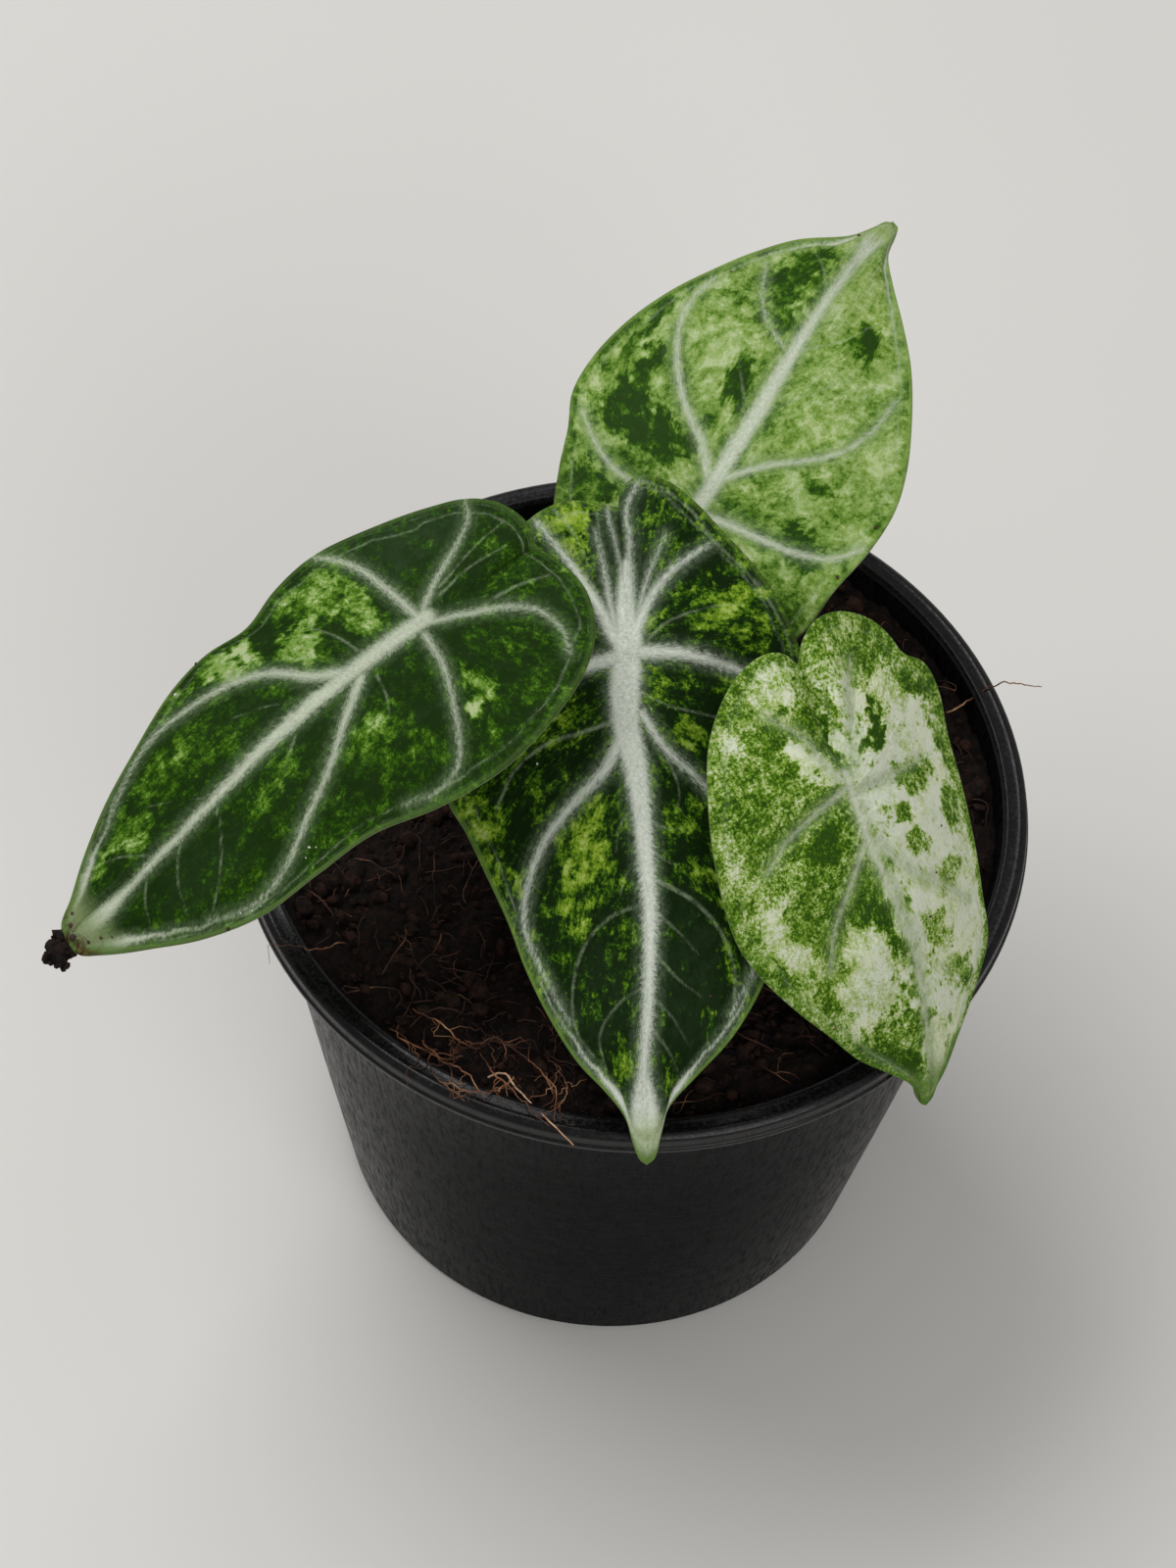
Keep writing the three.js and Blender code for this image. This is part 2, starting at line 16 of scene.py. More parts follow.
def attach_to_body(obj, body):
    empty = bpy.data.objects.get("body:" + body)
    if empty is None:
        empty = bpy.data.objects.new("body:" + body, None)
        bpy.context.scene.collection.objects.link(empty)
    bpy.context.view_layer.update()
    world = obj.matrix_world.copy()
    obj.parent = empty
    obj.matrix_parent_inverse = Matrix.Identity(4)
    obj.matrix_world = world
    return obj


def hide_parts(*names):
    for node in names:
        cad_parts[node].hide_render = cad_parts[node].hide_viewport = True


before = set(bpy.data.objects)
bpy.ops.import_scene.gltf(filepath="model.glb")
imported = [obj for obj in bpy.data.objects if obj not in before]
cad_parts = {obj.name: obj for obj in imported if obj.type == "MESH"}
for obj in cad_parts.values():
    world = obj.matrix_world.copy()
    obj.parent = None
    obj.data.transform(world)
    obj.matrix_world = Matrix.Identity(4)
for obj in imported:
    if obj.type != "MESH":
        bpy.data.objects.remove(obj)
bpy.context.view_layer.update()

MM = 0.001

# Pot and soil, as in the part's source
POT_HEIGHT = 95
RIM_RADIUS = 60
RIM_INNER_RADIUS = 56
RIM_DEPTH = 3.6
RIM_BEAD = 0.25
FOOT_RADIUS = 43.5
FOOT_INNER_RADIUS = 36
CENTRE_PAD_RADIUS = 14
FLOOR_LIFT = 2.5
WALL = 1.2
DRAIN_COUNT = 8
DRAIN_RADIUS = 3.5
DRAIN_CIRCLE = 28
SOIL_LEVEL = 91.2
SOIL_CROWN_RISE = 1.4

# Blades, as in the part's source
BLADE_THICKNESS = 1
MARGIN_THICKNESS = 0.75
BEAK_LENGTH = 11
BEAK_EXTRA_THICKNESS = 1.3
MIDRIB_DEPTH = 1.7
MIDRIB_REACH = 1.5
VEIN_DEPTH = 0.5
VEIN_REACH = 0.9
VEIN_GROOVE = 0.3
QUILT_HEIGHT = 0.75
MARGIN_WAVE = 0.5
MARGIN_WAVES = 3.5
KEEL_WIDTH = 3
CREASE_WIDTH = 2.4
CREASE_START = 8
TIP_INSET = 1.2
SINUS_INSET = 1

# Stems, as in the part's source
STEM_GROUND = SOIL_LEVEL + 2.6
STEM_FOOT_RADIUS = 3
STEM_TOP_RADIUS = 2.1
STEM_FLARE = 0.6
STEM_HANDLE = 0.46
STEM_CLEARANCE = 0.65

# How finely the pieces are meshed
MARGIN_STEP = 0.36
TOP_RINGS = 76
UNDER_EVERY = 4
STEM_SIDES = 28
STEM_RINGS = 60
POT_SEGMENTS = 160
SOIL_SEGMENTS = 420
SOIL_RINGS = 100

# Relief that only these finer blades have
THREAD_GROOVE = 0.09
RIPPLE_HEIGHT = 0.16
RIPPLE_LENGTH = 2.9
BEAK_CROWN = 0.9
MARGIN_BULGE = 0.294
MARGIN_ROUNDING = (50, 90, 130)

# The two pale veins that follow a blade's margin, by their distance from it
INNER_MARGIN_VEIN = 2.3
OUTER_MARGIN_VEIN = 1.0

# Each leaf: first its shape, as in the part's source, and then its looks.
# A rib runs from u on the midrib to both margins: (u, port bend, port end, starboard bend, starboard end).
# Veins and threads are (half width at the start, half width at the end, path).
# Patches, and the patches of painted sheen where light glances off the velvet, are (u, v, half length, half
# width, turn in degrees, tone or strength).
# vein_shade darkens the blade beside a vein, partly the leaf's own darker green there and partly painted
# shade in the grooves, and tip_veil widens the pale ground near the tip.
# margin_lines is how far the margin veins widen towards the tip. grain is the scale of the finest speckles.
# speckle is the strength of the fine speckles, the blotches, the broad fields and the streaks.
# margin_tone is the tone along the port margin and along the starboard one.
LEFT = {
    "attach": (-31.6, -8.5, 144.8), "tip": (-78.1, -46.8, 113.1), "foot": (-5.4, 0.2),
    "arch": 3, "bank": -6, "bow": 0.6, "lobe_curl": 0.004, "crease": 0.4,
    "slope": (-3, -10), "curl": (-0.004, -0.004),
    "port": [
        (-19.2, 0), (-20.6, -4.5), (-20.9, -9.8), (-18.6, -15), (-13.5, -19.2), (-5, -22.2), (4, -23.3),
        (14, -21.7), (24, -18.6), (34, -18), (43, -17.3), (52, -13.9), (60, -8.9), (65.4, -4.8),
        (68, -2.4), (68.4, 0),
    ],
    "starboard": [
        (-19.2, 0), (-20.5, 3), (-19.6, 8.5), (-16.5, 12.7), (-11, 15.6), (-3, 18.3), (6, 20.5),
        (13.5, 20.2), (20, 18.5), (27, 19.3), (34, 18.3), (43, 15.3), (52, 11.9), (59, 8), (64, 4.4),
        (67.4, 2.4), (68.4, 0),
    ],
    "ribs": [
        (-3, (-8, -3.5), (-18.6, -15), (-8, 4.5), (-17, 12.2)),
        (1.5, (1.8, -9), (11, -22.4), (1.5, 10), (6, 20.5)),
        (14, (22, -7), (41, -17.4), (23, 11.5), (45, 14.6)),
        (40, (45, -6), (54, -12.6), (45, 5), (55, 10.4)),
    ],
    "veins": [
        (1.5, 1.35, [(-1, 0.9), (5, 1.3), (12, 1.5), (20, 1.5)]),
        (1.3, 0.85, [(20, 1.5), (30, 1), (40, 0.1)]),
        (0.85, 0.65, [(40, 0.1), (50, -0.6), (60, -1.3), (65.5, -1.3)]),
        (0.6, 0.2, [(-1, 2), (-5, 4.4), (-11, 7.4), (-14.8, 10), (-16.2, 13)]),
        (0.8, 0.4, [(0, 2), (0.8, 8), (2, 14), (4, 18), (5.8, 20.2)]),
        (1.0, 0.1, [(13.5, 2.4), (17, 5), (21, 9.4), (26, 12.2), (33, 14), (42, 14.4), (49, 11.6),
            (55, 8)]),
        (0.7, 0.22, [(-1, 0), (-6, -2.4), (-11, -5.4), (-14, -8.6), (-14.8, -13), (-13.4, -16)]),
        (0.65, 0.12, [(0.8, -1), (1.4, -6), (3.2, -10.6), (5.6, -15.2), (8.6, -18.9), (13, -20),
            (18, -18.6)]),
        (0.9, 0.12, [(11.5, 0), (17, -3.6), (22.4, -7.2), (30, -11.2), (38, -14.9), (44, -15.3),
            (50, -12.6)]),
    ],
    "threads": [
        (0.25, 0.1, [(-4.5, 2.4), (-10, 3), (-16, 2.2)]),
        (0.2, 0.1, [(-5, 3.4), (-12, 5), (-18, 5.8)]),
        (0.3, 0.15, [(-6, -2.6), (-12, -3.4), (-18.4, -5.2)]),
        (0.25, 0.1, [(9.4, 3), (10.6, 7), (13, 11.6)]),
        (0.22, 0.1, [(9.6, -1.6), (10.4, -5), (12, -8)]),
        (0.28, 0.1, [(24, -0.8), (27.4, -3.4), (30.4, -6)]),
        (0.25, 0.12, [(39, -1.2), (41, -5), (45, -9.4), (49, -12)]),
        (0.18, 0.08, [(46.5, -1.6), (50, -5.6), (52, -9.6)]),
        (0.18, 0.08, [(53, -2), (55.6, -4.6), (57, -7)]),
        (0.2, 0.08, [(20, 2.8), (24, 5.4), (30, 8)]),
        (0.2, 0.08, [(39.6, 1.4), (42, 3.6), (47, 6.4)]),
        (0.18, 0.08, [(51, 0.6), (54, 3), (57, 4.6)]),
    ],
    "base_tone": 0.3,
    "patches": [
        (-8, 13, 9, 6, 0, 0.16), (5.5, 8, 2.6, 5.5, 0, 0.68), (9.5, 15, 5.5, 5, 0, 0.7),
        (14, 17, 3.6, 2.4, 0, 0.59), (15.6, 9.6, 2.6, 4.6, -14, 0.84), (10.8, 6.6, 1.7, 2.6, -20, 0.18),
        (19, 15.4, 2.2, 3.6, 0, 0.18), (18.6, 7.4, 1.6, 1.6, 0, 0.45), (9, 19.6, 1.6, 0.8, 0, 0.2),
        (25.8, 15.8, 3.8, 2.8, 8, 0.92), (34, 16.6, 4, 1.3, -6, 0.72), (22.6, 12, 1.4, 1.4, 0, 0.66),
        (30, 7, 9, 3.4, -2, 0.35), (42, 8.4, 8, 3.6, -14, 0.39), (36.4, 9.8, 4, 1.4, -6, 0.51),
        (44.6, 10.4, 3, 1.2, -20, 0.53), (51.6, 5, 4.4, 2.8, -20, 0.59), (57.6, 4.6, 2.4, 1.4, -40, 0.7),
        (24, 4, 3, 1.3, 0, 0.24), (43, 2.6, 3, 1.3, 0, 0.14), (33, 3.6, 2, 1.4, 0, 0.47),
        (27, 9, 2, 1.4, 0, 0.24), (-9, -11, 6, 5, 10, 0.3), (-0.4, -12.6, 2.6, 2.9, 0, 0.66),
        (2, -13, 1.2, 1.2, 0, 0.9), (-1.6, -4.4, 2, 3, 0, 0.14), (6, -8, 3, 6, 0, 0.14),
        (16, -8.6, 3.6, 3.4, -10, 0.51), (15.6, -14, 4, 2.4, 0, 0.43), (22, -13, 3.4, 2.4, -20, 0.22),
        (28, -4.2, 4, 1.6, -38, 0.53), (34, -7.4, 4.4, 2.8, -30, 0.39), (46, -6, 9, 5, -10, 0.15),
        (37, -11.6, 3, 1.6, -20, 0.3), (-12, -4, 4.4, 1.5, 10, 0.45), (-16.6, -10, 2, 4, 0, 0.26),
        (-14, 0, 5, 2, 0, 0.34), (56, -4.2, 4, 1.6, -24, 0.2), (8, -17.6, 7, 1.2, 6, 0.3),
        (24, -16.6, 10, 1.2, 6, 0.31),
    ],
    "painted_sheen": [(-7, 13, 8, 5.5, 0, 0.6), (1, 16, 3, 4, 0, 0.4), (-17, -9, 2.6, 6, 0, 0.3),
        (46, -7, 8, 4, -10, 0.3)],
    "thread_strength": 0.6,
    "vein_shade": 0.06,
    "margin_lines": 0.55,
    "edge_green": (96, 122, 64),
    "edge_strength": 0.7,
    "grain": 1.6,
    "tip_veil": 0.7,
    "halo": (96, 118, 80),
    "speckle": (1.3, 1.2, 1.0, 1.1),
    "margin_tone": (0.34, 0.3),
    "palette": [(22, 44, 7), (28, 55, 5), (44, 80, 5), (72, 110, 22), (118, 150, 68), (170, 184, 138)],
    "vein_colours": ((168, 178, 150), (198, 204, 188)),
    "beak_colours": ((118, 136, 86), (142, 158, 112)),
    "slot": "blade_dark",
}

CENTRE = {
    "attach": (-2.9, -3.2, 136), "tip": (7.1, -64.7, 97.8), "foot": (0.3, -5.2),
    "arch": 2.5, "bank": 0, "bow": -1.1, "lobe_curl": 0.004, "crease": 1.2,
    "slope": (-3, -3), "curl": (-0.004, -0.004),
    "port": [
        (-21.5, 0), (-24.4, -0.5), (-25.9, -3), (-25.2, -7), (-22, -11), (-17.5, -14.8), (-11, -20),
        (-4.5, -23.4), (2, -25.2), (10, -24.8), (18, -24), (26, -23), (34, -21.8), (42, -19.9),
        (49, -17.2), (56, -12.7), (61.3, -7.4), (65.5, -3.4), (69.6, -2.1), (72.4, -1.2), (73.3, 0),
    ],
    "starboard": [
        (-21.5, 0), (-22.3, 4.5), (-22.4, 8), (-20.6, 12.3), (-17, 15.8), (-11, 19.5), (-3, 22.5),
        (6, 24.6), (14, 26.4), (20, 26.4), (25, 23.9), (31, 21.4), (38, 18.6), (45, 16.3), (52, 13.2),
        (58.5, 9.4), (63, 5.5), (66.5, 3), (70.3, 1.9), (72.5, 1), (73.3, 0),
    ],
    "ribs": [
        (-5, (-13, -0.9), (-25.9, -3), (-10, 4.6), (-20.6, 12.3)),
        (-2, (-10, -4.2), (-16.5, -15.6), (-6, 9), (-10, 19.9)),
        (1.5, (1.4, -10), (7, -25), (2, 9), (8, 25.1)),
        (11.5, (19, -10), (32, -22.2), (23, 12.5), (41, 17.8)),
        (33.5, (39, -12), (54, -14), (42, 9), (57, 10.4)),
    ],
    "veins": [
        (2.3, 2.4, [(-2, -0.2), (2, 0.2), (6, 0.7)]),
        (2.4, 1.7, [(6, 0.7), (11, 0.6), (17, -0.4), (22, -0.9)]),
        (1.6, 1.1, [(22, -0.9), (30, -1.3), (38, -1.6), (44, -1.3)]),
        (1.1, 0.9, [(44, -1.3), (52, -0.7), (60, 0.1), (67, 0.2)]),
        (2.2, 1.1, [(-1, -0.2), (-7, -0.2), (-13, -0.6)]),
        (1.0, 0.1, [(-1, 1), (-6, 1.9), (-12, 2.7), (-18, 3.8)]),
        (0.8, 0.1, [(-1, -1), (-6, -2), (-11, -3.6), (-17, -6.4)]),
        (0.6, 0.2, [(-12, -0.8), (-17, -1.2), (-21, -1), (-25.4, -3)]),
        (0.35, 0.2, [(-13, 0.2), (-17, 1), (-20, 1.7), (-23, 1.5)]),
        (1.2, 0.3, [(-2, -1), (-7, -3.2), (-12, -7.4), (-15.6, -12.6)]),
        (1.2, 0.5, [(0.2, -2), (0.6, -8), (2, -13), (4, -18), (6.6, -24.4)]),
        (0.75, 0.15, [(9, -1.6), (14, -4.6), (18, -8.6), (24, -14), (31, -19.8), (38, -19.2), (46, -16.4),
            (53, -12.6)]),
        (1.3, 0.5, [(1, 2), (2.4, 8), (3.6, 13), (7.6, 24)]),
        (1.3, 0.35, [(-2, 1.6), (-7, 4), (-13, 7.4), (-20, 12.2)]),
        (1.1, 0.1, [(12.5, 1.4), (17, 4), (21.4, 8.4), (26.6, 12.8), (32.4, 15.4), (39, 16.3), (46, 13.8),
            (53, 10.4)]),
    ],
    "threads": [
        (0.34, 0.2, [(33, -2.6), (36, -7.6), (40, -11.2), (46, -13.4), (53, -13)]),
        (0.3, 0.12, [(36.4, -0.6), (38, 4), (42, 7.9), (48, 9.8), (54, 9.5), (58, 7)]),
        (0.2, 0.1, [(48, -0.4), (50.6, 3.6), (55, 6.2), (60, 5.4)]),
        (0.35, 0.2, [(10, 2), (11.6, 7), (13, 12), (16.4, 16.6), (22, 19.6)]),
        (0.24, 0.1, [(22.4, 0), (25, 2.2), (29, 3)]),
        (0.2, 0.08, [(30, -0.4), (32, 1.6), (35, 2.6)]),
        (0.24, 0.08, [(38, -2.8), (40.4, -5.4), (44, -8.4)]),
        (0.24, 0.08, [(44, -2.5), (47, -5), (50, -8.6)]),
        (0.22, 0.08, [(50, -1.9), (53, -4.4), (57, -6.6)]),
        (0.22, 0.08, [(54.6, -1.6), (57.6, -3.6), (60.4, -4.8)]),
        (0.3, 0.1, [(24.4, -2), (25.6, -4), (26, -7)]),
        (0.2, 0.08, [(29, -2.6), (30.6, -4.6), (31, -6)]),
        (0.24, 0.1, [(6, -1.6), (8, -5), (9.4, -10), (11, -16)]),
        (0.24, 0.1, [(-1, -2.4), (-4, -6), (-6, -12), (-6.6, -17)]),
        (0.26, 0.1, [(15.6, -5), (20, -6.4), (23, -6.2)]),
        (0.28, 0.24, [(-25.2, -3.6), (-24.4, -6), (-21, -10.2), (-16, -13.6), (-11.6, -17.8)]),
        (0.24, 0.2, [(-11.6, -17.8), (-7, -21), (0, -23.8), (7, -24)]),
        (0.26, 0.24, [(-25.4, -3), (-24.8, -0.6), (-22.6, 1.2), (-20, 1.6)]),
        (0.2, 0.1, [(-21, 3.4), (-16, 3), (-10, 1.8)]),
        (0.3, 0.1, [(-21.4, 9.4), (-18, 7), (-12, 4.6)]),
    ],
    "base_tone": 0.34,
    "patches": [
        (-18, -5.4, 6, 3.4, -10, 0.39), (-22.6, -3, 1.4, 2.4, 0, 0.12), (-15, -8.6, 3, 2, -30, 0.3),
        (-6, -12, 6, 5.4, 30, 0.39), (-4.6, -17, 5.4, 2.2, 28, 0.6), (-8, -15.6, 2, 1.4, 30, 0.7),
        (-11, -12, 2, 2.6, 30, 0.14), (-4, -7.6, 3, 2, 0, 0.16), (4.4, -7, 1.8, 3.4, 0, 0.37),
        (4.6, -12, 1.2, 4, 0, 0.31), (8.2, -9.6, 2, 3.4, 0, 0.12), (13, -8, 2.6, 3, 0, 0.51),
        (24.4, -6.4, 3, 2.6, 10, 0.53), (32, -7.4, 3, 2, 0, 0.49), (36.6, -11, 5, 1.6, -25, 0.45),
        (28, -8, 2, 2.6, 0, 0.1), (20, -5, 2, 2, 0, 0.14), (46, -6.6, 10, 5, -6, 0.06),
        (58, -5.4, 4, 3, -30, 0.08), (9.4, 8, 2.2, 5.4, 4, 0.57), (6.4, 6, 1.6, 3, 0, 0.43),
        (18, 11, 4, 7, 12, 0.37), (15, 6.4, 1.7, 3, 0, 0.14), (22.6, 20, 6, 3.4, -20, 0.45),
        (23.6, 22, 3, 1.4, -20, 0.57), (31, 20.4, 4, 1.1, -25, 0.55), (32.6, 17.2, 2.4, 0.9, -15, 0.74),
        (22, 15.6, 3, 2.2, 30, 0.3), (28.6, 17.4, 2.2, 1.6, 0, 0.12), (8, 16, 5, 5, 0, 0.41),
        (22.4, 5, 2.6, 2.6, 40, 0.55), (26.6, 8.6, 4.4, 3, 30, 0.6), (30.6, 7, 3.6, 3, 20, 0.66),
        (36, 9.6, 3.6, 1.8, 0, 0.58), (40.4, 9.8, 2.6, 1.2, 0, 0.41), (25.4, 2.6, 4.4, 1.4, 0, 0.45),
        (34, 4, 3, 1.6, 10, 0.35), (41.6, 4.4, 3.4, 3, 0, 0.35), (33.6, 12.4, 5, 1.1, 0, 0.3),
        (46, 7, 4, 3, 0, 0.12), (54, 5.4, 5, 2.8, -10, 0.16), (58, 3.6, 2.4, 1, -10, 0.34),
        (-19, 7.4, 4.6, 2.9, -8, 0.8), (-20, 7.4, 1.6, 1.2, 0, 0.95), (-12.6, 5, 4.4, 1.0, -12, 0.57),
        (-15, 2.8, 5, 1.3, -6, 0.1), (-19.6, 12.6, 2.4, 2.2, 0, 0.82), (-11, 13, 6, 5, 0, 0.35),
        (28, 23, 4, 1, -20, 0.47), (21, 25, 3, 1.4, -10, 0.66), (12, -18, 6, 4, 0, 0.35),
        (24, -16, 6, 3, 0, 0.3),
    ],
    "painted_sheen": [(-15, 2, 6, 1.6, 0, 0.4), (-20, -4, 5, 4, 0, 0.3), (47, -7, 10, 5, 0, 0.35),
        (50, 5, 8, 4, 0, 0.3)],
    "thread_strength": 0.55,
    "vein_shade": 0.03,
    "margin_lines": 0.75,
    "edge_green": (104, 134, 62),
    "edge_strength": 0.75,
    "grain": 1.6,
    "tip_veil": 1.3,
    "halo": (104, 120, 94),
    "speckle": (1.4, 1.3, 1.3, 1.8),
    "margin_tone": (0.44, 0.46),
    "palette": [(13, 32, 5), (20, 44, 4), (45, 80, 8), (86, 120, 20), (126, 154, 44), (160, 178, 100)],
    "vein_colours": ((186, 194, 176), (222, 226, 216)),
    "beak_colours": ((150, 170, 112), (184, 194, 160)),
    "slot": "blade_dark",
}

RIGHT = {
    "attach": (30.7, -20.3, 132.7), "tip": (46.9, -46.2, 91.6), "foot": (5.6, 0.2),
    "arch": 4.6, "bank": 0, "bow": -2.6, "lobe_curl": 0.006, "crease": 2,
    "slope": (-32, -2), "curl": (-0.004, -0.002),
    "port": [
        (-18.5, 0), (-21.8, -1.9), (-23.8, -5), (-24, -10), (-21.6, -15), (-18.5, -17.2), (-15, -18.3),
        (-12.6, -21.4), (-8, -22.4), (0, -21), (9, -20.3), (18, -19.2), (27, -18), (36, -17.2),
        (42.2, -12.6), (46.6, -8), (49.6, -4.4), (51, -2), (52.8, -1), (53.7, 0),
    ],
    "starboard": [
        (-18.5, 0), (-20.6, 1.4), (-21.7, 4.6), (-20.6, 9), (-17.5, 13.2), (-12.5, 17.3), (-6, 20.2),
        (1, 22.2), (9, 23.2), (16, 22.9), (22, 20.9), (28, 17.6), (34, 13.6), (40, 9.8), (44.8, 5.3),
        (48, 2.4), (50.6, 1.2), (52.8, 0.8), (53.7, 0),
    ],
    "ribs": [
        (-3, (-9.5, -5.5), (-23, -13), (-7, 4.6), (-15, 15.3)),
        (1.5, (1, -9), (8, -20.3), (2, 9), (10, 23.2)),
        (8, (15.5, -10), (29, -17.8), (18, 8.5), (33, 14.3)),
        (26, (32, -8.5), (43, -12.4), (33, 5.5), (42, 8.3)),
    ],
    "veins": [
        (0.9, 0.8, [(-2, 0.1), (4, 0.4), (10, 0.4)]),
        (0.8, 0.45, [(10, 0.4), (16, -0.5), (24, -1.6), (34, -1.6)]),
        (0.45, 0.25, [(34, -1.6), (44, -1.2), (50, -0.8)]),
        (0.4, 0.15, [(-1, 1), (-6, 3), (-10, 5), (-14, 8.6)]),
        (0.55, 0.2, [(0, 1), (1.5, 6), (4, 12), (7, 16)]),
        (0.5, 0.2, [(8, 1), (13, 5), (18, 9), (24, 11.5)]),
        (0.4, 0.15, [(-1, -0.6), (-6, -3), (-12, -5), (-17, -8)]),
        (0.35, 0.15, [(1, -1), (1, -8), (0.6, -14)]),
        (0.4, 0.15, [(9, -0.6), (15, -5), (21, -11), (26, -15)]),
    ],
    "threads": [
        (0.26, 0.12, [(-2, -0.2), (-8, -0.8), (-13, -1.4), (-18, -2.8)]),
        (0.22, 0.1, [(-2, 0.6), (-8, 1), (-15, 1)]),
        (0.2, 0.08, [(26, -1.4), (31, -6), (36, -9)]),
        (0.2, 0.08, [(26, -0.6), (31, 3.6), (37, 6)]),
        (0.16, 0.08, [(-20, 3), (-20.4, 6), (-18, 10), (-13, 15), (-6, 18.4)]),
    ],
    "base_tone": 0.46,
    "patches": [
        (14, -10, 40, 11, 0, 1.0), (16, -18, 12, 3, 0, 0.94), (-9, 0.6, 8, 0.8, 0, 0.15),
        (-10, 2.2, 7, 0.7, 4, 0.2), (-16.4, 5.4, 3.6, 4.4, 0, 0.8), (-5.8, 4.9, 6, 1.8, -38, 0.96),
        (-12, 14.6, 4, 3, 40, 0.68), (-10.6, 10, 2.8, 3.6, 0, 0.46), (-2, 9, 2.4, 3.4, 0, 0.48),
        (-10, 2.9, 3.2, 1.4, 0, 0.42), (5, 20, 6, 2.4, 0, 0.66), (16, 18, 5, 3, 0, 0.8),
        (6.2, 7.6, 2.4, 3.2, 0, 0.12), (3.2, 4.6, 1.8, 2.4, -20, 0.34), (9, 13, 3, 2.4, 20, 0.52),
        (18.8, 3.2, 3.0, 2.7, 0, 0.16), (14.6, 8.4, 2.8, 1.8, 30, 0.4), (21, 15, 4.4, 2.6, 0, 0.78),
        (27, 15, 3, 1.6, -30, 0.6), (29, 6.2, 9.5, 4.6, 0, 0.86), (40, 3.4, 5, 2.8, -30, 0.52),
        (45.4, 2.8, 3, 2.4, -30, 0.36), (43.5, 3.4, 6, 2.4, -30, 0.2), (45, -3, 9, 3.4, 4, 0.95),
        (52.6, 0, 1.6, 2, 0, 0.2), (33.6, 12.4, 4, 1.2, -35, 0.56), (12, 4, 2, 1.4, 0, 0.5),
        (24, 0.6, 3.4, 0.8, 0, 0.34), (15.4, 1.2, 3, 1, 0, 0.44), (38, 0.8, 4, 0.8, 0, 0.46),
        (-7.2, -7.6, 4, 1.6, 48, 0.12), (-17.4, -9, 5, 3.4, 10, 0.62), (-17, -13, 4.4, 3.4, 0, 0.4),
        (-11, -17.6, 2.6, 3, 0, 0.34), (-22.2, -5.4, 1.6, 3, 0, 0.46), (-8, -20.6, 3, 1.2, 0, 0.5),
        (-17.4, -3, 4, 1.6, 0, 0.6), (-10, -12.4, 2.6, 3, 0, 0.8), (2.6, -11, 2.2, 3.4, 0, 0.5),
        (7, -6.4, 1.4, 2, 0, 0.5), (12, -7.4, 2.2, 2, 10, 0.6), (2, -19.2, 4, 1.3, 0, 0.36),
        (10.6, -17.2, 3.4, 2.2, 0, 0.44), (22, 11, 4, 2.2, 20, 0.5), (16, 12, 3, 3, 0, 0.4),
        (19.4, -11.6, 3, 2.6, 30, 0.62), (25, -6.4, 4, 2.2, -30, 0.62), (33, -8, 4, 1.6, -20, 0.72),
        (37, -11.4, 3.4, 1.6, -10, 0.46), (-13.4, 0.4, 4, 0.9, 0, 0.5),
    ],
    "painted_sheen": [(0, 0, 6, 3, 0, 0.35), (20, -2, 14, 1.2, -4, 0.6), (14, 2, 5, 1.6, 30, 0.3),
        (2.4, 8, 1.5, 6, -20, 0.3)],
    "thread_strength": 0.35,
    "vein_shade": 0.0,
    "margin_lines": 0.1,
    "edge_green": (76, 112, 34),
    "edge_strength": 0.35,
    "grain": 2.0,
    "tip_veil": 0.0,
    "halo": (126, 148, 96),
    "speckle": (2.7, 1.2, 0.8, 1.3),
    "margin_tone": (0.46, 0.5),
    "palette": [(40, 68, 12), (56, 92, 10), (84, 122, 20), (126, 156, 52), (174, 188, 136),
        (206, 212, 192)],
    "vein_colours": ((170, 180, 150), (206, 210, 192)),
    "beak_colours": ((84, 118, 44), (122, 150, 78)),
    "slot": "blade_variegated",
}

